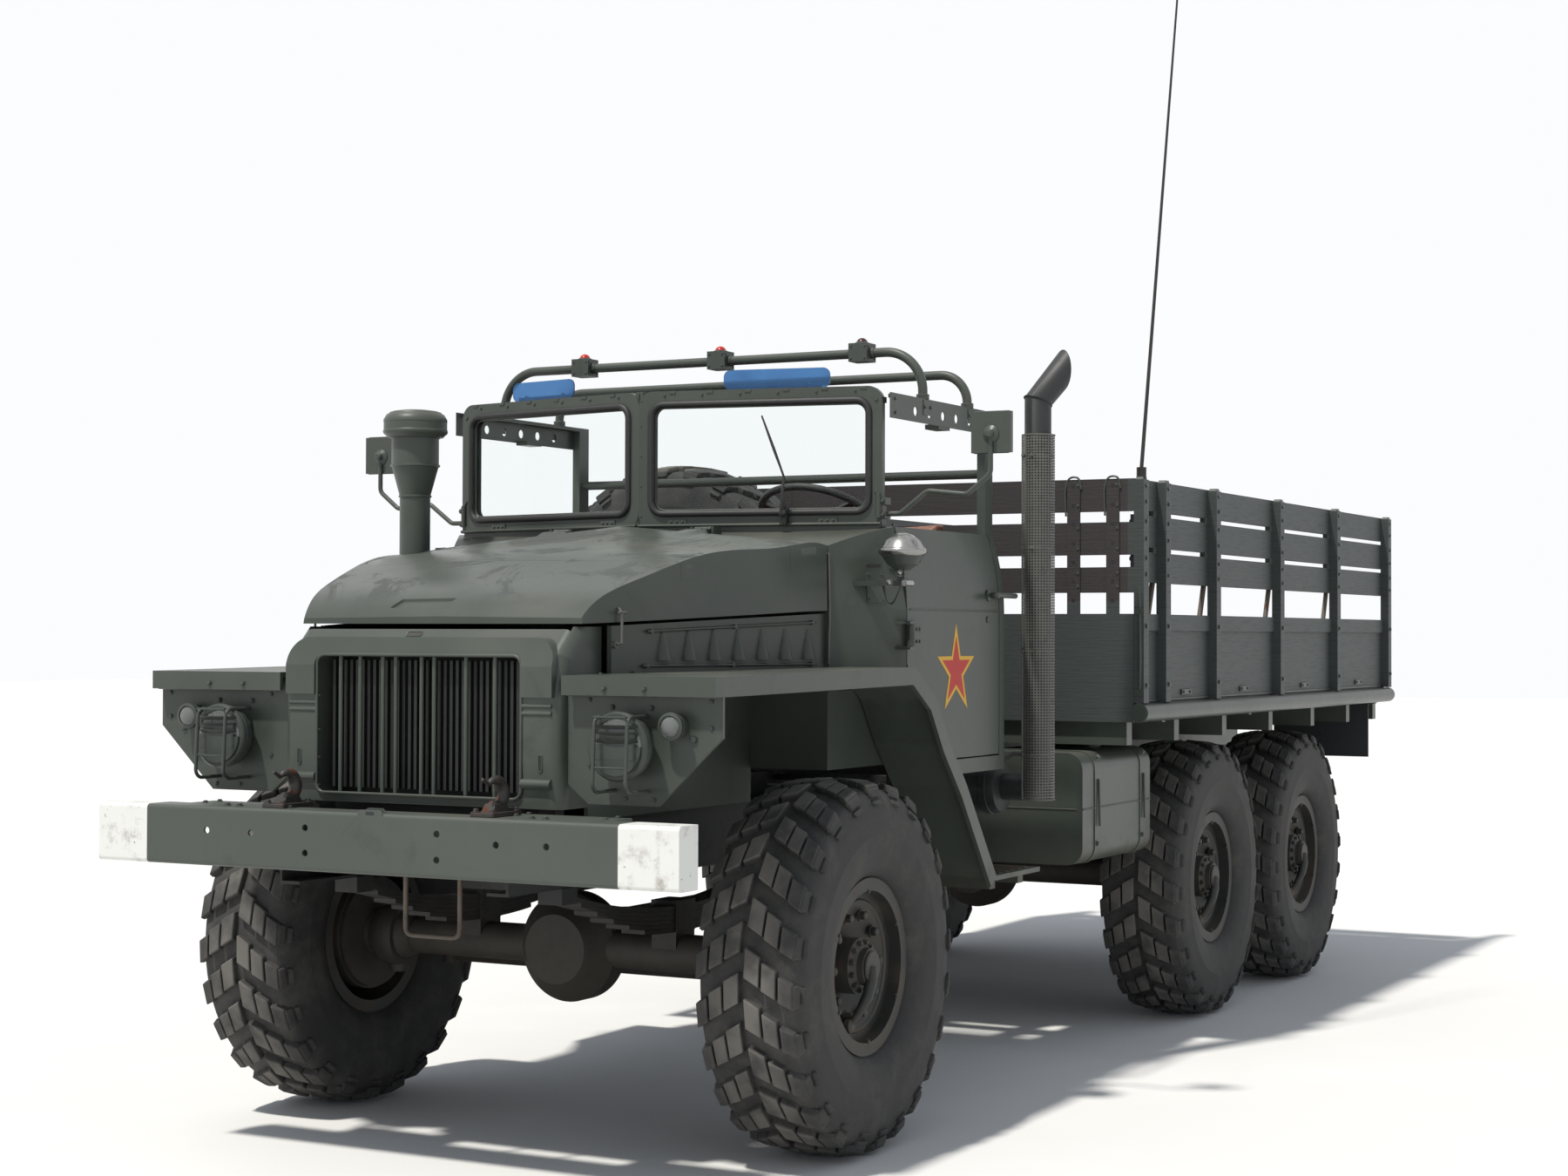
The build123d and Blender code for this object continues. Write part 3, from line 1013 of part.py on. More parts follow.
# Exhaust: silencer across the frame's left side, upright pipe with a slanted tip, half-round guard
STACK_X = CAB_REAR - 180
STACK_Y = 1050
STACK_R = 48
GUARD_R = 66
SILENCER_Z = 1110
GUARD_LOW = 1065
GUARD_TOP = 2480
STRAP_HEIGHT = 16
with BuildPart() as exhaust:
    add(drum((STACK_X, RAIL_OUT, SILENCER_Z), (0, 1, 0), 105, 470))
    add(tube([(STACK_X, 900, SILENCER_Z), (STACK_X, STACK_Y, SILENCER_Z), (STACK_X, STACK_Y, 2560),
              (STACK_X - 190, STACK_Y, 2790)], 70, 2 * STACK_R))
    with BuildSketch(Plane.XY.offset(GUARD_LOW)):
        with Locations((STACK_X, STACK_Y)):
            Circle(GUARD_R)
            Circle(GUARD_R - 4, mode=Mode.SUBTRACT)
        with Locations((STACK_X, STACK_Y - GUARD_R)):
            Rectangle(2 * GUARD_R + 2, 2 * GUARD_R - 30, mode=Mode.SUBTRACT)
    extrude(amount=GUARD_TOP - GUARD_LOW)
    for z in (1240, 1640, 2040, GUARD_TOP - 25):
        with BuildSketch(Plane.XY.offset(z)):
            with Locations((STACK_X, STACK_Y)):
                Circle(GUARD_R - 2)
                Circle(STACK_R - 1, mode=Mode.SUBTRACT)
        extrude(amount=STRAP_HEIGHT)
save("exhaust", exhaust.part)

# Side tanks: strapped fuel tank on the left, battery box on the right
TANK_REAR = BED_FRONT - 585
with BuildPart() as side_tanks:
    block((TANK_REAR, TANK_REAR + 790), (560, 1100), (780, 1230))
    fillet(side_tanks.edges().filter_by(Axis.X), radius=70)
    for x in (TANK_REAR + 110, TANK_REAR + 640):
        block((x - 30, x + 30), (RAIL_OUT, 570), (RAIL_BOTTOM, RAIL_BOTTOM + 190))
        with BuildPart() as strap:
            block((x - 22, x + 22), (556, 1104), (776, 1234))
            fillet(strap.edges().filter_by(Axis.X), radius=74)
        add(strap.part)
    add(drum((TANK_REAR + 200, 900, 1228), (0, 0, 1), 48, 34))
    block((TANK_REAR + 160, TANK_REAR + 690), (-1060, -560), (820, 1120))
    for x in (TANK_REAR + 250, TANK_REAR + 600):
        block((x - 30, x + 30), (-570, -RAIL_OUT), (RAIL_BOTTOM, RAIL_BOTTOM + 190))
save("side_tanks", side_tanks.part)

# Bed floor: deck with rolled side rails on cross bearers and two long sills, and the tailgate's hinge pins
BEARERS_X = (BED_FRONT - 60, BED_FRONT - 640, AXLE_MID, BOGIE_X, AXLE_REAR, AXLE_REAR - 650, BED_REAR + 50)
BEARER_LOW = 1255
SILL_OUT = RAIL_OUT
TAILGATE_HINGES_Y = (-900, 0, 900)
TAILGATE_AXIS_X = BED_REAR - 18
TAILGATE_AXIS_Z = BED_FLOOR_Z - 13
BED_DECK_LOW = BED_FLOOR_Z - BED_FLOOR_THICK
PLANK_GAP = 5
PLANK_STEP = 4
with BuildPart() as bed_floor:
    block((BED_REAR, BED_FRONT - 30), (-BED_HALF + 38, BED_HALF - 38), (BED_DECK_LOW, BED_FLOOR_Z))
    plank_half = BOARD_Y - BOARD_THICK - PLANK_GAP
    block((BED_REAR + PLANK_GAP, BED_FRONT - 30 - PLANK_GAP), (-plank_half, plank_half),
          (BED_FLOOR_Z - 1, BED_FLOOR_Z + PLANK_STEP))
    for side in (-1, 1):
        add(drum((BED_REAR, side * (BED_HALF - 38), 1388), (1, 0, 0), 38, BED_FRONT - BED_REAR))
        rail_end = sorted((side * (BOARD_Y - 20), side * (BOARD_Y + FIT)))
        block((BED_FRONT - 31 - FIT, BED_FRONT + 1), rail_end, (BED_DECK_LOW - 60, BED_FLOOR_Z + 1),
              Mode.SUBTRACT)
        sill = sorted((side * (SILL_OUT - 70), side * SILL_OUT))
        block((BED_REAR + 60, BED_FRONT - 30), sill, (RAIL_TOP, BEARER_LOW))
    for x in BEARERS_X:
        block((x - 30, x + 30), (-1200, 1200), (BEARER_LOW, BED_DECK_LOW))
    for y in TAILGATE_HINGES_Y:
        for end in (-1, 1):
            ear = sorted((y + end * 38, y + end * 48))
            block((TAILGATE_AXIS_X - 14, BED_REAR), ear, (TAILGATE_AXIS_Z - 14, TAILGATE_AXIS_Z + 10))
        add(drum((TAILGATE_AXIS_X, y - 40, TAILGATE_AXIS_Z), (0, 1, 0), PIN_R, 80))
save("bed_floor", bed_floor.part)

# Bed walls: low panels, three boards over a gap, posts along the sides and stakes at the front
POSTS_X = (BED_FRONT - 35, BED_FRONT - 305, BED_FRONT - 965, BED_REAR + 2000, BED_REAR + 1030, BED_REAR + 30)
SIDE_BOARDS = ((1920, 2045), (2065, 2195), (2215, 2340))
FRONT_SLATS = ((1876, 1980), (2030, 2163), (2207, 2340))
STAKES_Y = (-1150, -980, 980, 1150)
with BuildPart() as bed_walls:
    for side in (-1, 1):
        board = sorted((side * (BOARD_Y - BOARD_THICK), side * BOARD_Y))
        band = sorted((side * (BOARD_Y - 1), side * (BOARD_Y + 12)))
        post = sorted((side * (BOARD_Y - 1), side * (BOARD_Y + POST_DEPTH)))
        block((BED_REAR, BED_FRONT - 30), board, (BED_FLOOR_Z, BED_PANEL_TOP))
        block((BED_REAR, BED_FRONT - 30), band, (BED_PANEL_TOP - 68, BED_PANEL_TOP))
        for low, high in SIDE_BOARDS:
            block((BED_REAR, BED_FRONT - 30), board, (low, high))
        for x in POSTS_X:
            block((x - POST_WIDTH / 2, x + POST_WIDTH / 2), post, (BED_FLOOR_Z + 3, BED_TOP))
    block((BED_FRONT - 30, BED_FRONT), (-BOARD_Y, BOARD_Y), (BED_DECK_LOW - 30, BED_PANEL_TOP))
    for low, high in FRONT_SLATS:
        block((BED_FRONT - 30, BED_FRONT - 6), (-BOARD_Y, BOARD_Y), (low, high))
    for y in STAKES_Y:
        block((BED_FRONT - 7, BED_FRONT), (y - 28, y + 28), (BED_PANEL_TOP - 2, BED_TOP))
save("bed_walls", bed_walls.part)

# Tailgate: panel with three barrels round the floor's pins
with BuildPart() as tailgate:
    block((REAR, BED_REAR - 6), (-BOARD_Y + BOARD_THICK + 8, BOARD_Y - BOARD_THICK - 8),
          (BED_FLOOR_Z + 8, BED_PANEL_TOP))
    for y in TAILGATE_HINGES_Y:
        block((TAILGATE_AXIS_X - 14, TAILGATE_AXIS_X + 12), (y - 34, y + 34),
              (TAILGATE_AXIS_Z, BED_FLOOR_Z + 10))
        with Locations(Location((TAILGATE_AXIS_X, y, TAILGATE_AXIS_Z), (90, 0, 0))):
            Cylinder(BARREL_R, 68)
            Cylinder(PIN_R + RUNNING, 90, mode=Mode.SUBTRACT)
save("tailgate", tailgate.part)

# Mud flaps: sheets that hang behind the rear wheels
FLAP_X = AXLE_REAR - 965
with BuildPart() as mud_flaps:
    for side in (-1, 1):
        flap = sorted((side * 709, side * 1224))
        block((FLAP_X - 6, FLAP_X + 6), flap, (1060, BED_DECK_LOW))
save("mud_flaps", mud_flaps.part)

# Antenna: tapered whip in a socket on the bed's front left post, leaning back
WHIP_LENGTH = 2850
WHIP_LEAN = radians(12.3)
WHIP_X = POSTS_X[0]
WHIP_Y = BOARD_Y + POST_DEPTH / 2
with BuildPart() as antenna:
    add(drum((WHIP_X, WHIP_Y, BED_TOP), (0, 0, 1), 20, 50))
    with Locations(Plane(origin=(WHIP_X, WHIP_Y, BED_TOP + 46), z_dir=(-sin(WHIP_LEAN), 0, cos(WHIP_LEAN)))):
        Cone(8, 3, WHIP_LENGTH, align=(Align.CENTER, Align.CENTER, Align.MIN))
save("antenna", antenna.part)
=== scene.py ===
from math import atan2, cos, hypot, pi, radians, sin

import bpy
from mathutils import Matrix, Vector
from mathutils.bvhtree import BVHTree


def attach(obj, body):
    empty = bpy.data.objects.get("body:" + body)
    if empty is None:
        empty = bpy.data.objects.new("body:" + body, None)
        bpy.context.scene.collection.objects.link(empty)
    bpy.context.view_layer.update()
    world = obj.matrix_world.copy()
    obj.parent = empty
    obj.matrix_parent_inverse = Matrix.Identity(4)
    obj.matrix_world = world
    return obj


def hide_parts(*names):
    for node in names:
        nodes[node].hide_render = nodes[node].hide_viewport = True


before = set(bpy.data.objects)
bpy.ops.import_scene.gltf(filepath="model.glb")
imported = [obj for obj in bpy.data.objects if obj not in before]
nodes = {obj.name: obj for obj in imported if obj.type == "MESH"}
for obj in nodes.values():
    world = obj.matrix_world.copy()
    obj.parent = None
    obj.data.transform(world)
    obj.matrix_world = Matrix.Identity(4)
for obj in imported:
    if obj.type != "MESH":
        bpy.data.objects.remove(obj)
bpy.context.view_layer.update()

# Directions: +X is ahead, +Y is the truck's left
AHEAD, BACK, LEFT, RIGHT, UP, DOWN = (1, 0, 0), (-1, 0, 0), (0, 1, 0), (0, -1, 0), (0, 0, 1), (0, 0, -1)
SIDES = (1, -1)

# Stations of the truck, in metres
AXLES = {"front": 2.51, "mid": -1.015, "rear": -2.415}
WHEEL_Y, WHEEL_Z = 1.0, 0.615
SPARE = (0.56, -0.69, 1.812)
BED_FRONT, BED_REAR = 0.275, -3.64
BOARD_Y = 1.24
POSTS_X = (0.24, -0.03, -0.69, -1.64, -2.61, -3.61)
SIDE_BOARDS = ((1.920, 2.045), (2.065, 2.195), (2.215, 2.340))
FRONT_BOARDS = ((1.876, 1.980), (2.030, 2.163), (2.207, 2.340))
STACK = (2.26, -0.876)
EXHAUST_X, EXHAUST_Y = 0.83, 1.05

# The windscreen's halves run from a nose on the centre plane back to the pillars
NOSE_X, SCREEN_SIDE_X, SCREEN_HALF = 2.092, 1.918, 0.902
SCREEN_LOW, SCREEN_TOP = 2.089, 2.585
SCREEN_RUN = hypot(SCREEN_HALF, NOSE_X - SCREEN_SIDE_X)
SCREEN_TURN = atan2(NOSE_X - SCREEN_SIDE_X, SCREEN_HALF)


class Finish:
    """A Principled material whose colour, roughness and height are built up in layers."""

    def __init__(self, name, colour, rough=0.5, metal=0.0, **sockets):
        self.material = bpy.data.materials.new(name)
        self.material.use_nodes = True
        self.tree = self.material.node_tree
        self.shader = self.tree.nodes["Principled BSDF"]
        self.shader.inputs["Base Color"].default_value = (*colour, 1)
        self.shader.inputs["Roughness"].default_value = rough
        self.shader.inputs["Metallic"].default_value = metal
        for key, value in sockets.items():
            self.shader.inputs[key.replace("_", " ")].default_value = value
        self.colour, self.rough, self.height = (*colour, 1), rough, None
        place = self.tree.nodes.new("ShaderNodeTexCoord")
        self.place, self.normal = place.outputs["Object"], place.outputs["Normal"]

    def node(self, kind, inputs=(), **props):
        made = self.tree.nodes.new("ShaderNode" + kind)
        for key, value in props.items():
            setattr(made, key, value)
        for key, value in dict(inputs).items():
            if isinstance(value, bpy.types.NodeSocket):
                self.tree.links.new(value, made.inputs[key])
            else:
                made.inputs[key].default_value = value
        return made

    def stretched(self, x, y, z):
        return self.node("Mapping", {"Vector": self.place, "Scale": (x, y, z)}).outputs[0]

    def noise(self, scale, detail=4, rough=0.55, place=None, twist=0.0):
        return self.node("TexNoise", {"Vector": place or self.place, "Scale": scale, "Detail": detail,
                                      "Roughness": rough, "Distortion": twist}).outputs[0]

    def cracks(self, scale):
        """Distance to the nearest edge of a cell pattern."""
        cells = self.node("TexVoronoi", {"Vector": self.place, "Scale": scale}, feature="DISTANCE_TO_EDGE")
        return cells.outputs["Distance"]

    def part(self, axis, of=None):
        return self.node("SeparateXYZ", {0: of or self.place}).outputs["XYZ".index(axis)]

    def band(self, value, low, high):
        """0 below low, 1 above high, smooth between; low above high turns it over."""
        flip = low > high
        ends = {"From Min": min(low, high), "From Max": max(low, high), "To Min": float(flip),
                "To Max": float(not flip), "Value": value}
        return self.node("MapRange", ends, interpolation_type="SMOOTHSTEP").outputs[0]

    def calc(self, how, a, b=0.0):
        return self.node("Math", {0: a, 1: b}, operation=how).outputs[0]

    def times(self, first, *others):
        for value in others:
            first = self.calc("MULTIPLY", first, value)
        return first

    def patches(self, low, high, share, *noise, **more):
        """Mask of soft-edged patches where a noise rises from low to high."""
        return self.times(self.band(self.noise(*noise, **more), low, high), share)

    def coat(self, colour, mask, rough=None):
        """Lays a colour over what is there, where the mask is 1."""
        mixed = self.node("MixRGB", {"Fac": mask, "Color1": self.colour, "Color2": (*colour, 1)})
        self.colour = mixed.outputs[0]
        if rough is not None:
            levels = self.node("Mix", {0: mask, 2: self.rough, 3: rough}, data_type="FLOAT")
            self.rough = levels.outputs[0]
        return self

    def raise_(self, value, distance):
        """Adds a relief of a depth in metres."""
        inputs = {"Height": value, "Distance": distance, "Strength": 1.0}
        if self.height is not None:
            inputs["Normal"] = self.height
        self.height = self.node("Bump", inputs).outputs[0]
        return self

    def done(self):
        for value, key in ((self.colour, "Base Color"), (self.rough, "Roughness"), (self.height, "Normal")):
            if isinstance(value, bpy.types.NodeSocket):
                self.tree.links.new(value, self.shader.inputs[key])
        return self.material


OLIVE = (0.056, 0.066, 0.056)
OLIVE_PALE = (0.086, 0.096, 0.080)
DUST = (0.165, 0.145, 0.115)
MUD = (0.115, 0.088, 0.062)
MUD_TOP = 1.15


def tinted(colour, share):
    return tuple(share * c for c in colour)


def weather(f, dust, mud):
    """Dust on what faces up, and dried mud that thins out upwards."""
    up = f.band(f.part("Z", f.normal), 0.45, 0.98)
    f.coat(DUST, f.times(up, f.band(f.noise(2.3, 5), 0.38, 0.72), dust), 0.75)
    low = f.band(f.part("Z"), MUD_TOP, 0.45)
    splash = f.calc("ADD", f.times(low, 0.5), f.times(f.noise(9, 6, 0.7), 0.62))
    return f.coat(MUD, f.times(f.band(splash, 0.42, 0.86), mud), 0.9)


def painted(name, colour, pale, rough=0.36, mud=0.55):
    """Brushed military paint: uneven tone, faded matt patches, small chips and a light orange peel."""
    f = Finish(name, colour, rough, 0, Specular_IOR_Level=0.36)
    f.coat(pale, f.patches(0.42, 0.75, 0.55, 1.4, 5, 0.6), rough + 0.13)
    f.coat(tinted(colour, 0.62), f.patches(0.56, 0.72, 0.5, 3.7, 6, 0.65, twist=0.6), rough + 0.05)
    f.coat(tinted(colour, 1.35), f.patches(0.58, 0.75, 0.22, 5, 4, 0.5, f.stretched(5, 5, 0.35)))
    chips = f.band(f.noise(48, 3, 0.75), 0.735, 0.765)
    f.coat((0.05, 0.036, 0.027), f.times(chips, f.band(f.noise(2.1, 2), 0.46, 0.62)), 0.8)
    weather(f, 0.30, mud)
    return f.raise_(f.noise(260, 2, 0.5), 0.00012).raise_(f.noise(7, 3, 0.5), 0.0022)


def plain(name, colour, rough, metal=0.0, speck=0.35, grain=0.0, scale=30, **sockets):
    """A material with a mottled tone and a fine relief."""
    f = Finish(name, colour, rough, metal, **sockets)
    f.coat(tinted(colour, 0.55), f.patches(0.48, 0.72, speck, scale, 5, 0.65), min(1, rough + 0.15))
    f.coat(tuple(min(1, 1.5 * c + 0.01) for c in colour), f.patches(0.55, 0.78, speck * 0.6, scale * 0.3, 4))
    return f.raise_(f.noise(scale * 9, 3, 0.6), grain) if grain else f


def rusty(name, base, rough, share):
    f = plain(name, base, rough, 0.3, 0.5, 0.0003, 40)
    return f.coat((0.115, 0.042, 0.018), f.band(f.noise(22, 6, 0.7), 0.62 - share * 0.3, 0.72 - share * 0.22),
                  0.85)


def hood_paint():
    """The body's paint, worn to a dull grey in patches on the crown."""
    f = painted("hood_paint", OLIVE, OLIVE_PALE, 0.3)
    worn = f.band(f.noise(2.6, 7, 0.72, twist=1.2), 0.52, 0.6)
    crown = f.band(f.part("Z", f.normal), 0.75, 0.93)
    return f.coat((0.047, 0.052, 0.047), f.times(worn, crown, 0.75), 0.62)


def bumper_paint():
    """Olive with white, chipped ends."""
    f = painted("bumper_paint", (0.068, 0.079, 0.069), OLIVE_PALE, 0.42, 0.35)
    end = f.band(f.calc("ABSOLUTE", f.part("Y")), 0.8965, 0.8985)
    end = f.times(end, f.band(f.part("X"), 3.50, 3.53))
    white = f.times(end, f.band(f.noise(34, 5, 0.7), 0.70, 0.66))
    f.coat((0.78, 0.78, 0.75), white, 0.5)
    return f.coat((0.40, 0.38, 0.34), f.times(white, f.band(f.noise(12, 5, 0.7), 0.5, 0.75)), 0.6)


def screen_glass():
    f = Finish("clear_glass", (0.93, 0.97, 0.95), 0.02, 0, Transmission_Weight=1.0, IOR=1.12, Alpha=1.0)
    f.rough = f.patches(0.45, 0.8, 0.10, 5, 5, 0.7)
    return f


def tinted_glass():
    f = Finish("blue_glass", (0.09, 0.25, 0.52), 0.08, 0, Transmission_Weight=0.7, IOR=1.3)
    return f.coat((0.05, 0.15, 0.36), f.band(f.noise(5, 3), 0.4, 0.8), 0.14)


def leather():
    f = plain("seat_leather", (0.235, 0.098, 0.060), 0.46, 0, 0.45, 0, 14)
    f.raise_(f.band(f.cracks(150), 0.0, 0.12), 0.0006).raise_(f.noise(18, 3), 0.004)
    return f.coat((0.34, 0.18, 0.12), f.patches(0.55, 0.75, 0.5, 6, 4), 0.6)


def tyre_rubber():
    """Dusty rubber: dark at the foot of the sidewall, pale on the tread, with fine rings."""
    f = Finish("tyre_rubber", (0.042, 0.042, 0.042), 0.8, 0, Specular_IOR_Level=0.3)
    across = f.node("VectorMath", {0: f.place, 1: (1, 0, 1)}, operation="MULTIPLY").outputs[0]
    radius = f.node("VectorMath", {0: across}, operation="LENGTH").outputs["Value"]
    f.coat((0.100, 0.095, 0.087), f.patches(0.32, 0.72, 0.6, 13, 6, 0.68), 0.92)
    f.coat((0.030, 0.030, 0.031), f.times(f.band(radius, 0.585, 0.56), f.band(f.noise(5, 4), 0.62, 0.4)),
           0.66)
    f.coat((0.158, 0.149, 0.135), f.times(f.band(radius, 0.600, 0.614), f.band(f.noise(9, 5), 0.22, 0.62)),
           0.95)
    return f.raise_(f.noise(90, 5, 0.7), 0.0011).raise_(f.calc("SINE", f.times(radius, 900)), 0.00012)


def wheel_paint():
    f = painted("wheel_paint", (0.030, 0.032, 0.030), (0.060, 0.055, 0.048), 0.52, 0)
    f.coat((0.085, 0.048, 0.032), f.patches(0.55, 0.72, 0.7, 16, 6, 0.72), 0.85)
    return f.coat(MUD, f.patches(0.42, 0.8, 0.5, 6, 5), 0.9)


def side_boards():
    """Painted planks with a grain and scuffs; the front wall's upper boards are darker inside the posts."""
    colour = (0.042, 0.051, 0.049)
    f = Finish("side_boards", colour, 0.55)
    grain = f.noise(6, 6, 0.6, f.stretched(1.2, 1.2, 26), 0.4)
    f.coat(tinted(colour, 0.6), f.times(f.band(grain, 0.45, 0.7), 0.7), 0.65)
    f.coat((0.17, 0.14, 0.11), f.patches(0.6, 0.74, 0.30, 4, 6, 0.7, f.stretched(0.5, 0.5, 3)), 0.8)
    weather(f.raise_(grain, 0.0012), 0.35, 0.3)
    front_wall = f.times(f.band(f.part("X"), 0.238, 0.241), f.band(f.part("Z"), 1.835, 1.845))
    inside = f.band(f.calc("ABSOLUTE", f.part("Y")), 1.216, 1.210)
    return f.coat((0.030, 0.021, 0.023), f.times(front_wall, inside, 0.85), 0.6)


def lamp_paint():
    """Lamp bodies; the searchlight's bowl, the highest of them, is worn to bright metal."""
    f = painted("lamp_paint", (0.044, 0.052, 0.047), OLIVE_PALE, 0.4)
    silver = f.band(f.part("Z"), 1.983, 1.985)
    return f.coat((0.24, 0.25, 0.24), f.times(silver, f.band(f.noise(30, 5, 0.7), 0.72, 0.6)), 0.24)


def roof_paint():
    """Roof rails; above the lamp boxes it is the marker domes' red, dark on the left one."""
    f = painted("roof_rail_paint", OLIVE, OLIVE_PALE, 0.4)
    dome = f.band(f.part("Z"), 2.7765, 2.7768)
    f.coat((0.50, 0.012, 0.010), dome, 0.2)
    return f.coat((0.045, 0.012, 0.012), f.times(dome, f.band(f.part("Y"), 0.40, 0.45)), 0.2)


FINISHES = {
    "paint": painted("olive_paint", OLIVE, OLIVE_PALE),
    "hood": hood_paint(),
    "bumper": bumper_paint(),
    "chassis": weather(plain("chassis_black", (0.016, 0.017, 0.017), 0.6, 0, 0.4, 0.0003), 0.25, 0.30),
    "steel": plain("bare_steel", (0.33, 0.33, 0.32), 0.35, 0.85, 0.5, 0.0001, 60),
    "rust": rusty("rusty_iron", (0.040, 0.036, 0.034), 0.5, 0.22),
    "worn": rusty("worn_rod", (0.085, 0.070, 0.055), 0.55, 0.25),
    "glass": screen_glass(),
    "blue": tinted_glass(),
    "leather": leather(),
    "rubber": plain("black_rubber", (0.016, 0.016, 0.017), 0.55, 0, 0.4, 0.0002, 50),
    "tyre": tyre_rubber(),
    "wheel": wheel_paint(),
    "radiator": plain("radiator_fins", (0.017, 0.018, 0.018), 0.5, 0.3, 0.5, 0.0002),
    "soot": plain("exhaust_black", (0.020, 0.021, 0.022), 0.5, 0.1, 0.5, 0.0004, 24),
    "guard": weather(plain("guard_grey", (0.125, 0.125, 0.112), 0.5, 0.15, 0.5), 0.3, 0.3),
    "chrome": plain("worn_chrome", (0.30, 0.30, 0.29), 0.22, 0.95, 0.35, 0.0001, 45),
    "boards": side_boards(),
    "red": plain("red_dome", (0.50, 0.012, 0.010), 0.18, 0, 0.3, Transmission_Weight=0.3),
    "amber": plain("amber_lens", (0.62, 0.21, 0.02), 0.2, 0, 0.3, Transmission_Weight=0.25),
    "lens": plain("ribbed_lens", (0.34, 0.36, 0.35), 0.12, 0, 0.25, Transmission_Weight=0.6, IOR=1.4),
    "mirror": plain("mirror_glass", (0.80, 0.82, 0.84), 0.03, 1.0, 0.08),
    "star_red": painted("star_red", (0.46, 0.014, 0.010), (0.50, 0.035, 0.022), 0.42, 0.2),
    "star_gold": painted("star_gold", (0.66, 0.36, 0.018), (0.68, 0.42, 0.06), 0.42, 0.2),
    "white": plain("dial_white", (0.72, 0.72, 0.68), 0.4, 0, 0.2),
    "flap": weather(plain("flap_rubber", (0.021, 0.023, 0.026), 0.6, 0, 0.5, 0.0004, 12), 0.3, 0.8),
    "whip": plain("whip_black", (0.025, 0.023, 0.021), 0.4, 0.4, 0.4),
    "lamp": lamp_paint(),
    "roof": roof_paint(),
}
MAT = {key: finish.done() for key, finish in FINISHES.items()}


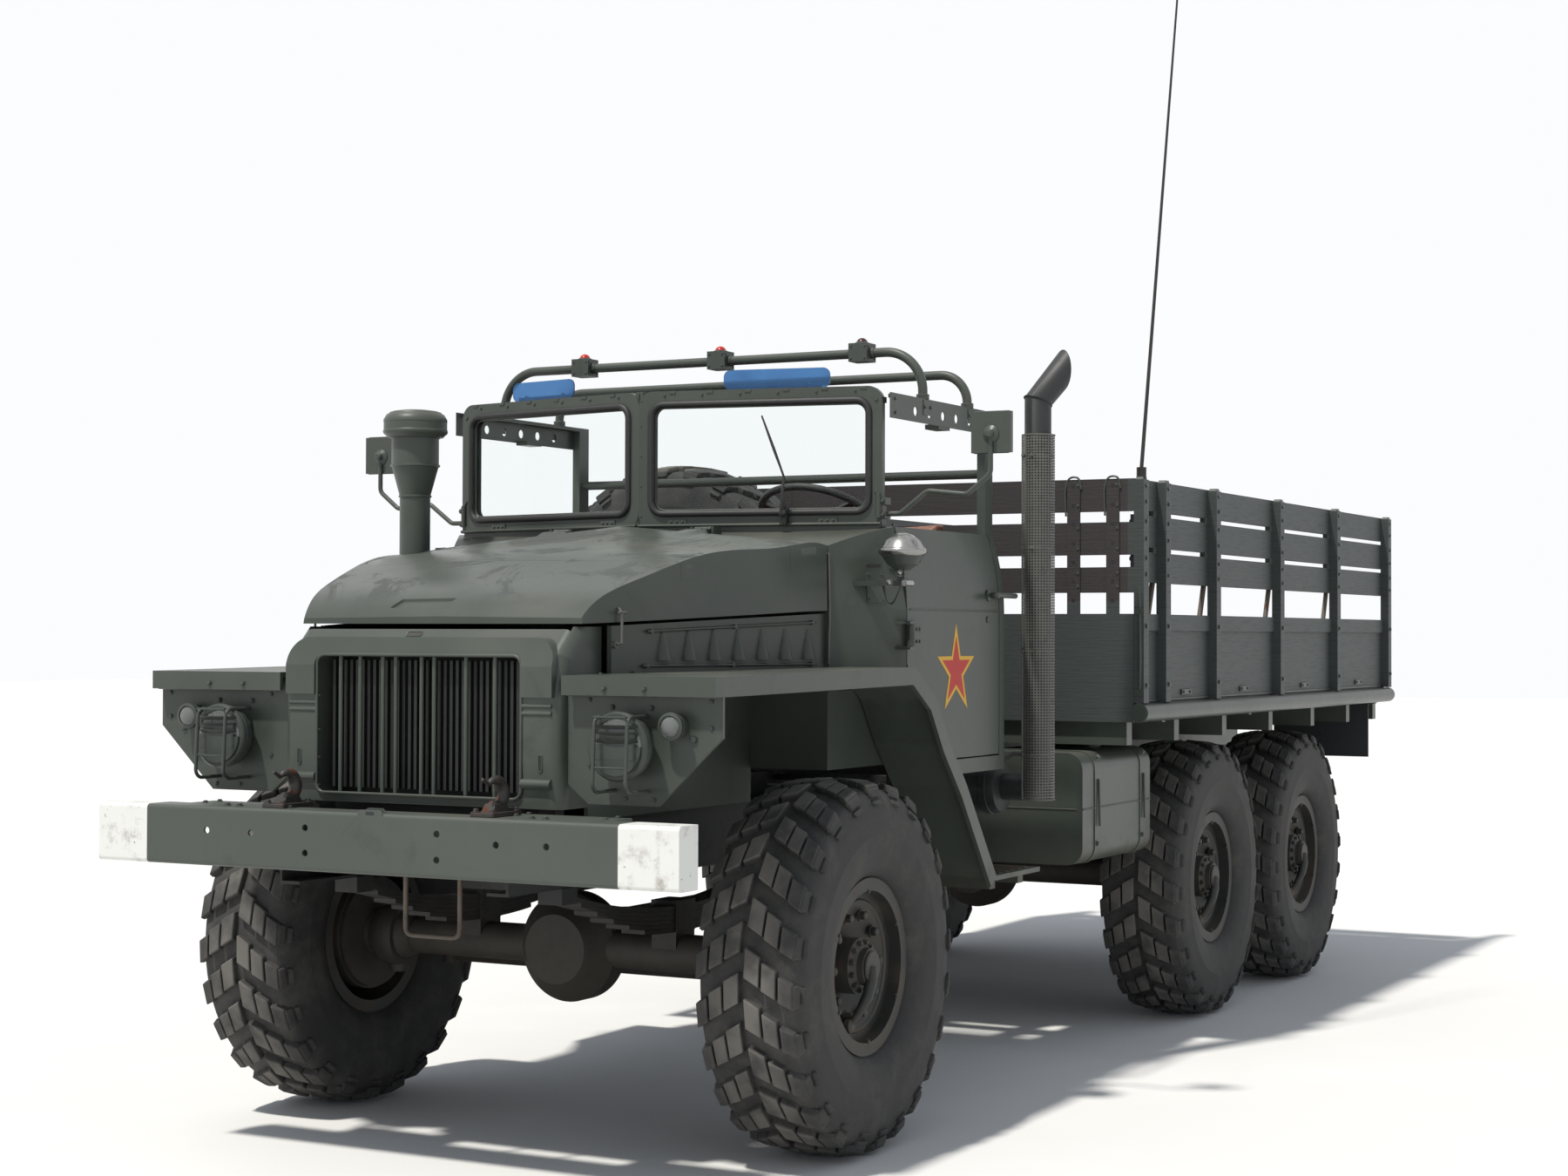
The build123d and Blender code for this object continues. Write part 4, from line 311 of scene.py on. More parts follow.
class Shape:
    """Vertices and faces of one joined piece."""

    def __init__(self):
        self.verts, self.faces, self.kinds = [], [], []

    def add(self, verts, faces, kind=0):
        first = len(self.verts)
        self.verts += [tuple(v) for v in verts]
        self.faces += [tuple(first + i for i in face) for face in faces]
        self.kinds += [kind] * len(faces)
        return self

    def cage(self, eight, kind=0):
        """A six-sided block from eight corners: four below, then four above, both the same way round."""
        sides = [(3, 2, 1, 0), (4, 5, 6, 7), (0, 1, 5, 4), (1, 2, 6, 5), (2, 3, 7, 6), (3, 0, 4, 7)]
        return self.add(eight, sides, kind)

    def box(self, one, other, kind=0):
        """Block between two opposite corners, in any order."""
        (a, b, c), (d, e, f) = map(min, one, other), map(max, one, other)
        return self.cage([(x, y, z) for z in (c, f) for x, y in ((a, b), (d, b), (d, e), (a, e))], kind)

    def pipe(self, points, radius, sides=10, kind=0, closed=False):
        """Round bar along points; radius is one number or one for each point."""
        points = [Vector(p) for p in points]
        radii = radius if isinstance(radius, (list, tuple)) else [radius] * len(points)
        count, rings = len(points), []
        across = None
        for i, p in enumerate(points):
            before = points[i - 1] if i or closed else p
            after = points[(i + 1) % count] if i < count - 1 or closed else p
            ahead = (after - before).normalized()
            if across is None:
                across = ahead.orthogonal().normalized()
            across = (across - ahead * across.dot(ahead)).normalized()
            up = ahead.cross(across)
            rings.append([p + radii[i] * (cos(2 * pi * k / sides) * across + sin(2 * pi * k / sides) * up)
                          for k in range(sides)])
        faces = []
        for i in range(count if closed else count - 1):
            a, b = i * sides, (i + 1) % count * sides
            faces += [(a + k, a + (k + 1) % sides, b + (k + 1) % sides, b + k) for k in range(sides)]
        if not closed:
            faces += [tuple(range(sides))[::-1], tuple((count - 1) * sides + k for k in range(sides))]
        return self.add([v for ring in rings for v in ring], faces, kind)

    def lathe(self, profile, centre, axis, steps=32, kind=0, arc=2 * pi):
        """Profile of (radius, distance along the axis) turned round the axis; ends at radius 0 are closed."""
        at = round_axis(centre, axis)
        count = steps if arc > 2 * pi - 1e-6 else steps + 1
        verts = [at(arc * k / steps, max(r, 1e-5), along) for r, along in profile for k in range(count)]
        faces = []
        for i in range(len(profile) - 1):
            for k in range(steps):
                after = (k + 1) % count
                faces.append((i * count + k, i * count + after, (i + 1) * count + after, (i + 1) * count + k))
        return self.add(verts, faces, kind)

    def stud(self, place, axis, radius, low, high, steps=12, kind=0, dome=0.0):
        """Round stud between two distances along its axis; its end may rise to a dome."""
        return self.lathe([(0, low), (radius, low), (radius, high), (0, high + dome)], place, axis, steps,
                          kind)

    def bolt(self, place, axis, radius=0.009, height=0.006, kind=0):
        """Hexagon head on a washer."""
        foot, rim = height * 0.3, height * 1.15
        self.lathe([(0, 0), (radius * 1.35, 0), (radius * 1.35, foot), (radius, foot)], place, axis, 12, kind)
        return self.lathe([(radius, foot), (radius, height), (radius * 0.7, rim), (0, rim)], place, axis, 6,
                          kind)

    def bolts(self, places, axis, radius, height, kind=0):
        for place in places:
            self.bolt(place, axis, radius, height, kind)

    def plate(self, outline, place, low, high, kind=0):
        """Plate with a closed outline; place turns an outline point and a height into a point in space."""
        count = len(outline)
        faces = [tuple(range(count))[::-1], tuple(count + k for k in range(count))]
        faces += [(k, (k + 1) % count, count + (k + 1) % count, count + k) for k in range(count)]
        return self.add([place(u, v, height) for height in (low, high) for u, v in outline], faces, kind)

    def make(self, name, kinds="paint", body="chassis", slot="paint", bevel=0.0, smooth=38, centre=(0, 0, 0),
             replaces=None):
        """Turns the shape into an object; kinds names its finishes, replaces the CAD node it stands for."""
        mesh = bpy.data.meshes.new(name)
        shift = Vector(centre)
        mesh.from_pydata([Vector(v) - shift for v in self.verts], [], self.faces)
        for kind in kinds.split():
            mesh.materials.append(MAT[kind])
        mesh.polygons.foreach_set("material_index", self.kinds)
        mesh.validate()
        mesh.shade_smooth()
        mesh.set_sharp_from_angle(angle=radians(smooth))
        made = bpy.data.objects.new(name, mesh)
        made.location = shift
        bpy.context.collection.objects.link(made)
        if bevel:
            edge = made.modifiers.new("edge", "BEVEL")
            edge.width, edge.segments, edge.limit_method = bevel, 2, "ANGLE"
            edge.angle_limit = radians(40)
        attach(made, body)
        if replaces:
            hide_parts(replaces)


def round_axis(centre, axis):
    """Turns (angle, radius, distance along) round an axis into a place."""
    centre, axis = Vector(centre), Vector(axis).normalized()
    across = axis.cross(Vector(UP if abs(axis.z) < 0.5 else AHEAD)).normalized()
    up = axis.cross(across)
    return lambda turn, r, along: centre + axis * along + across * (r * cos(turn)) + up * (r * sin(turn))


def corners(half, low, high, middle=0.0):
    """Corners of a rectangle as (u, v) points: u is half to either side, v runs from low to high."""
    return (middle - half, low), (middle + half, low), (middle + half, high), (middle - half, high)


def rounded(half_u, half_v, radius, steps=5):
    """Outline of a rounded rectangle as (u, v) points."""
    made = []
    for cu, cv, first in ((1, 1, 0), (-1, 1, 1), (-1, -1, 2), (1, -1, 3)):
        for k in range(steps + 1):
            t = pi / 2 * (first + k / steps)
            made.append((cu * (half_u - radius) + radius * cos(t), cv * (half_v - radius) + radius * sin(t)))
    return made


def arc_points(points, radius, steps):
    """Points of a path with its corners rounded."""
    points = [Vector(p) for p in points]
    made = [points[0]]
    for before, corner, after in zip(points, points[1:], points[2:]):
        a, b = (before - corner).normalized(), (after - corner).normalized()
        half = a.angle(b) / 2
        back = radius / max(0.05, abs(sin(half) / cos(half)) if cos(half) > 1e-6 else 1e6)
        back = min(back, (before - corner).length * 0.49, (after - corner).length * 0.49)
        for k in range(steps + 1):
            t = k / steps
            start, end = corner + a * back, corner + b * back
            made.append((1 - t) ** 2 * start + 2 * t * (1 - t) * corner + t * t * end)
    return made + [points[-1]]


def smooth_line(points, steps):
    """Points of a smooth curve through the given ones."""
    points = [Vector(p) for p in points]
    ends = [points[0] * 2 - points[1], *points, points[-1] * 2 - points[-2]]
    made = []
    for a, b, c, d in zip(ends, ends[1:], ends[2:], ends[3:]):
        square, cube = 2 * a - 5 * b + 4 * c - d, 3 * b - a - 3 * c + d
        for k in range(steps):
            t = k / steps
            made.append(0.5 * (2 * b + (c - a) * t + square * t ** 2 + cube * t ** 3))
    return made + [points[-1]]


def skin_of(node):
    """Search tree over a CAD node, for placing trim on its surface."""
    mesh = nodes[node].data
    return BVHTree.FromPolygons([v.co for v in mesh.vertices], [tuple(p.vertices) for p in mesh.polygons])


def land(tree, start, ahead):
    """Where a ray from start meets a surface, and the surface's normal turned to face the ray."""
    place, normal, _, _ = tree.ray_cast(Vector(start), Vector(ahead).normalized())
    return place, -normal if normal.dot(Vector(ahead)) > 0 else normal


# Tyres: moulded carcass with three blocks and a shoulder buttress to each chevron lug
LUGS = 24
CARCASS = ((0.256, -0.133), (0.294, -0.134), (0.302, -0.150), (0.330, -0.170), (0.380, -0.184),
           (0.430, -0.1885),
           (0.436, -0.1898), (0.442, -0.1885), (0.490, -0.1875), (0.520, -0.1835), (0.545, -0.1775),
           (0.566, -0.168), (0.580, -0.150), (0.586, -0.110), (0.588, -0.050))
# Each block's inner and outer edge across the tread, its face's radius at both, and its share of the width
BLOCKS = ((0.010, 0.062, 0.615, 0.613, 1.0), (0.070, 0.118, 0.6125, 0.608, 0.94),
          (0.126, 0.170, 0.6065, 0.5965, 0.86))
# Each buttress's lower and upper radius, share of the width, and inner and outer edge
BUTTRESSES = ((0.556, 0.592, 1.0, 0.166, 0.168), (0.530, 0.552, 0.8, 0.176, 0.180))
LUG_SWEEP = 0.155
LUG_HALF = 0.077


def tyre_shape(centre, axis, lean):
    """Tyre about an axis that points outboard; lean is which way the chevrons run."""
    at = round_axis(centre, axis)
    s = Shape()
    s.lathe([*CARCASS, *[(r, -y) for r, y in reversed(CARCASS)]], centre, axis, 96)

    def block(hand, spots):
        """Eight corners, given as (angle, distance across, radius) for the right hand."""
        eight = [at(turn, r, hand * y) for turn, y, r in spots]
        s.cage(eight if hand > 0 else eight[3::-1] + eight[:3:-1])

    for hand in (-1, 1):
        for lug in range(LUGS):
            base = 2 * pi / LUGS * (lug + (0.5 if hand > 0 else 0))
            for step, (y0, y1, r0, r1, share) in enumerate(BLOCKS):
                t0, t1 = (base + lean * (LUG_SWEEP * y / 0.17 + 0.012 * step) for y in (y0, y1))
                half = LUG_HALF * share
                block(hand, [(t + sign * half * wide, y, r)
                             for wide, radii in ((1.12, (0.578, 0.572)), (1, (r0, r1)))
                             for t, y, r, signs in ((t0, y0, radii[0], (-1, 1)), (t1, y1, radii[1], (1, -1)))
                             for sign in signs])
            t = base + lean * (LUG_SWEEP + 0.024)
            for low, high, wide, inner, outer in BUTTRESSES:
                half = LUG_HALF * 0.84 * wide
                rows = ((1, inner, low), (1, inner - 0.004, high),
                        (0.92, outer + 0.0145, low + 0.004), (0.92, outer + 0.006, high - 0.004))
                block(hand, [(t + sign * half * share, y, r)
                             for (share, y, r), signs in zip(rows, ((-1, 1), (1, -1)) * 2) for sign in signs])
    return s


def wheel_fittings(name, body, centre, axis):
    """Rim nuts, hub flange bolts, rim bead and the inflation arm that runs out from the hub."""
    s = Shape()
    at = round_axis(centre, axis)
    s.bolts([at(2 * pi * k / 10, 0.168, 0.0815) for k in range(10)], axis, 0.015, 0.024)
    s.bolts([at(2 * pi * (k + 0.5) / 12, 0.080, 0.118) for k in range(12)], axis, 0.008, 0.010)
    s.lathe([(0.205, 0.097), (0.214, 0.103), (0.223, 0.097)], centre, axis, 64)
    s.lathe([(0.036, 0.149), (0.052, 0.150), (0.054, 0.156), (0.050, 0.160), (0, 0.160)], centre, axis, 24)
    arm = ((0.0, 0.154, 0.018), (0.05, 0.160, 0.021), (0.10, 0.156, 0.019), (0.16, 0.132, 0.014),
           (0.20, 0.108, 0.010))
    turn = 1.2
    s.pipe([at(turn, r, along) for r, along, _ in arm], [radius for _, _, radius in arm], 10)
    s.lathe([(0, 0.096), (0.024, 0.098), (0.024, 0.116), (0.015, 0.122), (0, 0.122)], at(turn, 0.20, 0), axis,
            16)
    s.bolts([at(2 * pi * (k + 0.5) / 6, 0.245, 0.139) for k in range(6)], axis, 0.007, 0.006)
    s.make(name, "wheel", body, "wheel_paint", centre=centre)


def wheels():
    spots = []
    for row, x in AXLES.items():
        for hand, side in zip(("left", "right"), SIDES):
            name = f"{row}_{hand}"
            spots.append((name, f"tyre_{name}", f"wheel_{name}", (x, side * WHEEL_Y, WHEEL_Z), (0, side, 0),
                          side))
    spots.append(("spare", "spare_tyre", "chassis", SPARE, AHEAD, 1))
    for name, node, body, centre, axis, lean in spots:
        tyre_shape(centre, axis, lean).make(f"tyre_{name}_lugged", "tyre", body, "tyre", bevel=0.004,
                                            centre=centre, replaces=node)
        wheel_fittings(f"wheel_{name}_fittings", body, centre, axis)


# The finish of each CAD node
NODE_LOOKS = {
    "chassis": "frame_rails leaf_springs drive_line front_axle rear_axles knuckle_left knuckle_right tie_rod "
               "spare_carrier",
    "paint": "front_mask fenders cab_tub windscreen_frame intake_stack side_tanks door_left door_right "
             "mirrors bed_floor tailgate",
    "hood": "hood", "bumper": "bumper", "rust": "tow_gear", "roof": "roof_rails", "lamp": "lamps",
    "glass": "windscreen_glass", "blue": "visors", "rubber": "controls", "radiator": "radiator",
    "soot": "exhaust", "boards": "bed_walls", "flap": "mud_flaps", "whip": "antenna", "leather": "seats",
    "wheel": " ".join(n for n in nodes if n.startswith("disc_") or n == "spare_disc"),
}


def dress_nodes():
    for kind, names in NODE_LOOKS.items():
        for node in names.split():
            slots = nodes[node].data.materials
            for index in range(len(slots)):
                slots[index] = MAT[kind]
            if len(slots) == 0:
                slots.append(MAT[kind])


def pane(side):
    """Turns (u from the nose, z, distance before the frame) into a place on one half of the windscreen."""
    along = Vector((-sin(SCREEN_TURN), side * cos(SCREEN_TURN), 0))
    front = Vector((cos(SCREEN_TURN), side * sin(SCREEN_TURN), 0))
    return lambda u, z, proud: Vector((NOSE_X, 0, z)) + along * u + front * proud


def windscreen():
    """Rubber seals, the frames' screws, hinges and clamps, and the strip between the two halves."""
    middle_z, half_z = (SCREEN_LOW + SCREEN_TOP) / 2, (SCREEN_TOP - SCREEN_LOW) / 2
    seals, metal = Shape(), Shape()
    for side in SIDES:
        at = pane(side)
        front = at(0, 0, 1) - at(0, 0, 0)
        for s, inset, corner, proud, radius, sides in ((seals, 0.049, 0.047, 0.001, 0.0125, 8),
                                                       (seals, 0.049, 0.047, -0.039, 0.011, 8),
                                                       (metal, 0.062, 0.036, -0.011, 0.0035, 6)):
            loop = rounded(SCREEN_RUN / 2 - inset, half_z - inset, corner, 7)
            s.pipe([at(SCREEN_RUN / 2 + u, middle_z + v, proud) for u, v in loop], radius, sides, closed=True)
        for k in range(6):
            u = 0.10 + k * (SCREEN_RUN - 0.2) / 5
            metal.bolt(at(u, SCREEN_TOP - 0.016, 0), front, 0.0045, 0.004)
            metal.cage([at(u + du, SCREEN_TOP + dz, proud) for dz in (-0.011, -0.001)
                        for du, proud in corners(0.012, -0.004, 0.003, 0.03)])
        hinge_z = SCREEN_LOW + 0.020
        for u in (0.15, SCREEN_RUN - 0.20):
            metal.plate(rounded(0.036, 0.011, 0.006, 3), lambda a, b, h: at(u + a, hinge_z + b, h), -0.002,
                        0.004)
            metal.bolts([at(u + step, hinge_z, 0.004) for step in (-0.022, 0.0, 0.022)], front, 0.0045, 0.004)
        outer = SCREEN_RUN
        metal.bolts([at(outer - 0.022, z, 0) for z in (SCREEN_TOP - 0.05, SCREEN_LOW + 0.12)], front, 0.006,
                    0.004)
        metal.bolts([at(outer - 0.014, z, 0) for z in (2.13, 2.20)], front, 0.008, 0.006)
        metal.stud(at(outer - 0.012, 2.135, 0.004), UP, 0.010, -0.02, 0.06)
        metal.pipe([at(u, SCREEN_LOW + 0.006, 0.008) for u in (0.004, outer - 0.004)], 0.006, 8)
    metal.bolts([(NOSE_X - 0.0035, 0.009, z) for z in (2.13, 2.24, 2.35, 2.46, 2.55)], AHEAD, 0.0045, 0.003)
    seals.box((NOSE_X - 0.006, -0.0025, SCREEN_LOW + 0.01), (NOSE_X - 0.002, 0.0025, SCREEN_TOP - 0.008))
    seals.make("screen_seals", "rubber", slot="flap_rubber", smooth=60)
    metal.make("screen_fittings", bevel=0.001)


def wiper():
    """Motor housing, spindle, arm and blade on the driver's half."""
    at = pane(1)
    s = Shape()
    foot = ((-0.016, 0.0), (0.016, 0.0), (0.013, 0.030), (-0.013, 0.030))
    s.cage([at(0.56 + du, z, proud) for z in (2.092, 2.162) for du, proud in foot])
    s.lathe([(0, 0), (0.014, 0), (0.014, 0.012), (0.008, 0.016), (0, 0.016)], at(0.56, 2.135, 0.030),
            at(0, 0, 1) - at(0, 0, 0), 16)
    for run, radius, sides in (
            (((0.56, 2.135, 0.040), (0.561, 2.18, 0.046), (0.566, 2.262, 0.040)), (0.007, 0.006, 0.0045), 8),
            (((0.566, 2.262, 0.040), (0.535, 2.34, 0.036), (0.520, 2.372, 0.030)), 0.0028, 6),
            (((0.570, 2.245, 0.024), (0.524, 2.365, 0.023), (0.478, 2.486, 0.023)), (0.0035, 0.006, 0.0035),
             6)):
        s.pipe([at(*spot) for spot in run], radius, sides)
    s.make("wiper", "rubber", bevel=0.0015)


def visor_clips():
    s = Shape()
    for side, along, width in ((1, 0.520, 0.400), (-1, 0.505, 0.320)):
        at = pane(side)
        s.cage([at(u, SCREEN_TOP + dz, proud) for dz in (-0.004, 0.016)
                for u, proud in corners(width * 0.42, -0.032, -0.0265, along)])
        for u in (along - 0.3 * width, along + 0.3 * width):
            s.pipe([at(u, SCREEN_TOP - 0.006, -0.036), at(u, SCREEN_TOP + 0.022, -0.030)], 0.007, 8)
    s.make("visor_clips", "steel", slot="bare_steel", bevel=0.001)


def cowl_bead():
    """Bead along the cowl where the hood's rear edge lies."""
    cowl = skin_of("cab_tub")
    s = Shape()
    x = 2.1325
    for side in SIDES:
        run = []
        for k in range(14):
            turn = radians(-4 + k * 5.6)
            out = Vector((0, side * cos(turn), sin(turn)))
            hit = land(cowl, Vector((2.127, 0, 1.80)) + out * 1.4, -out)[0]
            run.append(Vector((x, hit.y, hit.z)) + out * 0.001)
        s.pipe(run, 0.0042, 8)
        s.pipe([(x, side * 0.801, 1.60), (x, side * 0.802, 1.70), run[0]], 0.0042, 8)
    s.make("cowl_bead", "guard")


def side_panel_trim():
    """Beads of the engine bay's side panels, and the hood's catches at their front ends."""
    def panel_y(x):
        return 0.786 - (x - 2.131) * 0.199

    s = Shape()
    x0 = 2.19
    for side in SIDES:
        out = Vector((0.195, side * 0.98, 0)) * 0.008
        for x1, z0, z1 in ((3.06, 1.600, 1.600), (3.04, 1.744, 1.710)):
            ends = [Vector((x, side * panel_y(x), z)) for x, z in ((x0, z0), (x1, z1))]
            s.pipe([end + out for end in ends], 0.0048, 8)
            for x in (x0 + 0.02, (x0 + x1) / 2, x1 - 0.02):
                s.stud(ends[0].lerp(ends[1], (x - x0) / (x1 - x0)), out, 0.008, -0.002, 0.012, 10, dome=0.001)
        x, z, top = 3.185, 1.668, 1.772
        y, reach = panel_y(x), panel_y(x) + 0.030
        s.stud((x, side * y, z), (0, side, 0), 0.012, -0.004, 0.010, 12, 1, dome=0.002)
        hook = ((y + 0.004, z), (reach, z + 0.004), (reach, top - 0.02), (reach, top))
        s.pipe([(x, side * across, height) for across, height in hook], 0.0046, 8, 1)
        s.pipe([(x + dx, side * (reach + 0.002), top - 0.002) for dx in (-0.022, 0.022)], 0.0036, 8, 1)
        s.pipe([(x, side * reach, top - 0.004), (x, side * (reach - 0.012), top + 0.012)], 0.004, 8, 1)
    s.make("side_panel_trim", "paint guard", smooth=50)


def cowl_hatches():
    """Screwed plate with a drip edge on either side of the cowl."""
    cowl = skin_of("cab_tub")
    s = Shape()
    for side in SIDES:
        middle, normal = land(cowl, (1.99, side * 1.4, 1.868), (0, -side, 0))
        along = normal.cross(Vector(UP)).normalized()
        up = along.cross(normal).normalized()

        def at(u, v, proud):
            return middle + along * u + up * v + normal * proud

        s.plate(rounded(0.036, 0.055, 0.008, 3), at, -0.002, 0.0035)
        s.bolts([at(u, v, 0.0035) for v in (0.044, -0.044) for u in (-0.026, 0.026)], normal, 0.004, 0.003)
        s.plate(rounded(0.030, 0.006, 0.005, 3), lambda u, v, proud: at(u, v + 0.078, proud), -0.004, 0.001,
                1)
    s.make("cowl_hatches", "paint rubber", bevel=0.001)


def hood_cover():
    """Panels that close the hood's skin across its crown, between the surfaces round each opening."""
    hood = skin_of("hood")
    rows, across = 16, 72
    step, proud, thick = 0.012, 0.0006, 0.0016
    for name, x0, x1 in (("rear", 2.186, 2.334), ("middle", 2.738, 2.889)):
        span = x1 - x0
        top, bottom = [], []
        for k in range(across + 1):
            turn = radians(15 + 150 * k / across)
            out = Vector((0, cos(turn), sin(turn)))
            seen = [hood.ray_cast(Vector((x, 0, 1.70)) + out * 1.2, -out)[0]
                    for x in (x0 - step, x0, x1, x1 + step)]
            if None in seen:
                continue
            rise, fall = (seen[1] - seen[0]) / step * span, (seen[3] - seen[2]) / step * span
            for j in range(-1, rows + 2):
                t = j / rows
                square, cube = t ** 2, t ** 3
                place = (seen[1] * (2 * cube - 3 * square + 1) + rise * (cube - 2 * square + t)
                         + seen[2] * (3 * square - 2 * cube) + fall * (cube - square) + out * proud)
                top.append(place)
                bottom.append(place - out * thick)
        width = rows + 3
        half, lines = len(top), len(top) // width
        faces = []
        for i in range(lines - 1):
            for a in range(i * width, i * width + width - 1):
                b = half + a
                faces += [(a, a + 1, a + width + 1, a + width), (b, b + width, b + width + 1, b + 1)]
        rim = [*range(width - 1), *range(width - 1, half - 1, width), *range(half - 1, half - width, -1),
               *range(half - width, 0, -width)]
        faces += [(a, half + a, half + b, b) for a, b in zip(rim, rim[1:] + rim[:1])]
        Shape().add(top + bottom, faces).make(f"hood_skin_{name}", "hood", "hood", smooth=60)


def mask_trim():
    """Rim of the grille's opening, its screws, and the slots in the mask."""
    s = Shape()
    s.pipe([(3.4365, u, 1.4105 + v) for u, v in rounded(0.397, 0.2225, 0.030, 6)], 0.0055, 8, closed=True)
    slot = rounded(0.004, 0.021, 0.0038, 3)
    for side in SIDES:
        y, z = side * 0.468, 1.302
        s.plate(slot, lambda u, v, x: (x, y + u, z + v), 3.434, 3.4372, 1)
        s.pipe([(3.4368, y + 1.7 * u, z + 1.22 * v) for u, v in slot], 0.0022, 6, closed=True)
        s.bolts([(3.428, side * 0.3925, z) for z in (1.21, 1.30, 1.39, 1.50)], AHEAD, 0.0055, 0.006, 2)
    spot, normal = land(skin_of("front_mask"), (3.8, -0.07, 1.700), BACK)
    up = normal.cross(Vector(LEFT)).normalized()

    def at(u, v, proud):
        return spot + Vector((0, u, 0)) + up * v + normal * proud

    slot = rounded(0.026, 0.007, 0.004, 3)
    s.plate(slot, at, -0.003, 0.0006, 1)
    s.pipe([at(1.15 * u, 1.45 * v, 0) for u, v in slot], 0.0025, 6, closed=True)
    s.make("mask_trim", "paint rubber rust", smooth=50)


def bumper_and_fenders():
    s = Shape()
    s.plate(rounded(0.047, 0.023, 0.011, 4), lambda u, v, x: (x, u, 1.134 + v), 3.672, 3.6748)
    s.plate(rounded(0.017, 0.006, 0.0055, 4), lambda u, v, x: (x, u, 1.146 + v), 3.674, 3.6749, 1)
    for side in SIDES:
        s.bolts([(3.62, side * y, 1.147) for y in (0.36, 0.41, 0.56, 0.61)], UP, 0.010, 0.008)
        s.bolts([(x, side * y, 1.147) for x in (3.47, 3.54) for y in (0.45, 0.77)], UP, 0.008, 0.006)
    s.make("bumper_fittings", "bumper rubber", bevel=0.001)
    s = Shape()
    for side in SIDES:
        s.bolts([(3.4395, side * y, 1.536) for y in (0.70, 0.842)], AHEAD, 0.0075, 0.008)
        s.bolts([(x, side * 0.60, 1.574 + (3.44 - x) * 0.0114) for x in (3.30, 3.10, 2.9, 2.6, 2.3)], UP,
                0.006, 0.005)
        front = ((3.432, 0.56), (3.432, 1.068), (3.39, 1.084))
        s.pipe([(x, side * y, 1.516) for x, y in front], 0.0045, 8)
        s.pipe([(3.38, side * 1.083, 1.5165), (2.075, side * 1.083, 1.5315)], 0.0045, 8)
    s.make("fender_fittings", bevel=0.0008)


def head_lamps():
    """Rims, guards and hooded slats of the head lamps, with the marker lamps beside them."""
    rods, shade, lens = Shape(), Shape(), Shape()
    for side in SIDES:
        lamp = Vector((3.392, side * 0.770, 1.362))
        rods.lathe([(0.098, 0.066), (0.106, 0.070), (0.107, 0.080), (0.100, 0.088), (0.086, 0.087),
                    (0.084, 0.079)], lamp, AHEAD, 40)
        lens.lathe([(0.085, 0.0845), (0.060, 0.0895), (0.032, 0.0922), (0, 0.093)], lamp, AHEAD, 36)
        turns = [(j / 8 - 0.5) * 1.9 for j in range(9)]
        for z in (1.424, 1.402, 1.380):
            rows = [[Vector((x + cos(t) * 0.030, lamp.y + sin(t) * 0.092, height)) for t in turns]
                    for x, height in ((3.457, z - 0.0085), (3.469, z + 0.0035), (3.455, z + 0.0035))]
            count = len(turns)
            shade.add(sum(rows, []), [(a, a + 1, a + count + 1, a + count)
                                      for i in (0, count) for a in range(i, i + count - 1)])
        shade.lathe([(0.0, 0.080), (0.088, 0.080), (0.088, 0.094), (0.0, 0.097)], lamp, AHEAD, 24, 0, pi)
        rods.bolts([(3.394, lamp.y + y * 1.2, 1.478) for y in (-0.058, 0.058)], AHEAD, 0.007, 0.006)
        for z in (1.452, 1.30):
            rods.pipe([(3.5185, lamp.y - 0.058, z), (3.523, lamp.y, z), (3.5185, lamp.y + 0.058, z)], 0.0038,
                      6)
        marker = (3.442, side * 0.935, 1.424)
        rods.lathe([(0.040, -0.012), (0.044, -0.006), (0.043, 0.002), (0.034, 0.006), (0.031, 0.001)], marker,
                   AHEAD, 24)
        lens.lathe([(0.032, 0.001), (0.022, 0.009), (0.010, 0.0125), (0, 0.0135)], marker, AHEAD, 24, 1)
        rods.bolt((3.392, side * 0.99, 1.385), AHEAD, 0.010, 0.008)
        plate = ((0.62, 1.50), (0.62, 1.30), (1.05, 1.50), (1.05, 1.42), (0.75, 1.20), (0.85, 1.20))
        rods.bolts([(3.392, side * y, z) for y, z in plate], AHEAD, 0.006, 0.005)
    rods.make("lamp_rims", "lamp", smooth=50)
    shade.make("lamp_shades", "lamp", smooth=30)
    lens.make("lamp_lenses", "lens lens", slot="glass", smooth=60)


def searchlight():
    """Rim, lens dome, pivots and loose lead of the lamp on the cowl."""
    s = Shape()
    lamp = (2.040, 1.040, 1.924)
    s.lathe([(0.0735, 0.052), (0.0835, 0.060), (0.0855, 0.068), (0.0835, 0.076), (0.0745, 0.080)], lamp, UP,
            48)
    s.lathe([(0.0765, 0.078), (0.0615, 0.1045), (0.036, 0.1235), (0.012, 0.1315), (0, 0.1322)], lamp, UP, 48)
    s.bolt((2.056, 1.04, 1.915), AHEAD, 0.009, 0.010)
    s.stud((2.04, 1.06, 1.881), AHEAD, 0.011, -0.03, 0.03, 14)
    s.bolt((2.06, 1.0, 1.881), AHEAD, 0.010, 0.009)
    s.make("searchlight_rim", "chrome", slot="bare_steel", smooth=60)
    lead = ((2.052, 1.046, 1.925), (2.064, 1.052, 1.900), (2.070, 1.040, 1.852), (2.060, 1.012, 1.812),
            (2.048, 0.985, 1.822), (2.045, 0.968, 1.872))
    s = Shape()
    s.pipe(smooth_line(lead, 5), 0.0032, 8)
    s.make("searchlight_lead", "rubber", slot="flap_rubber")


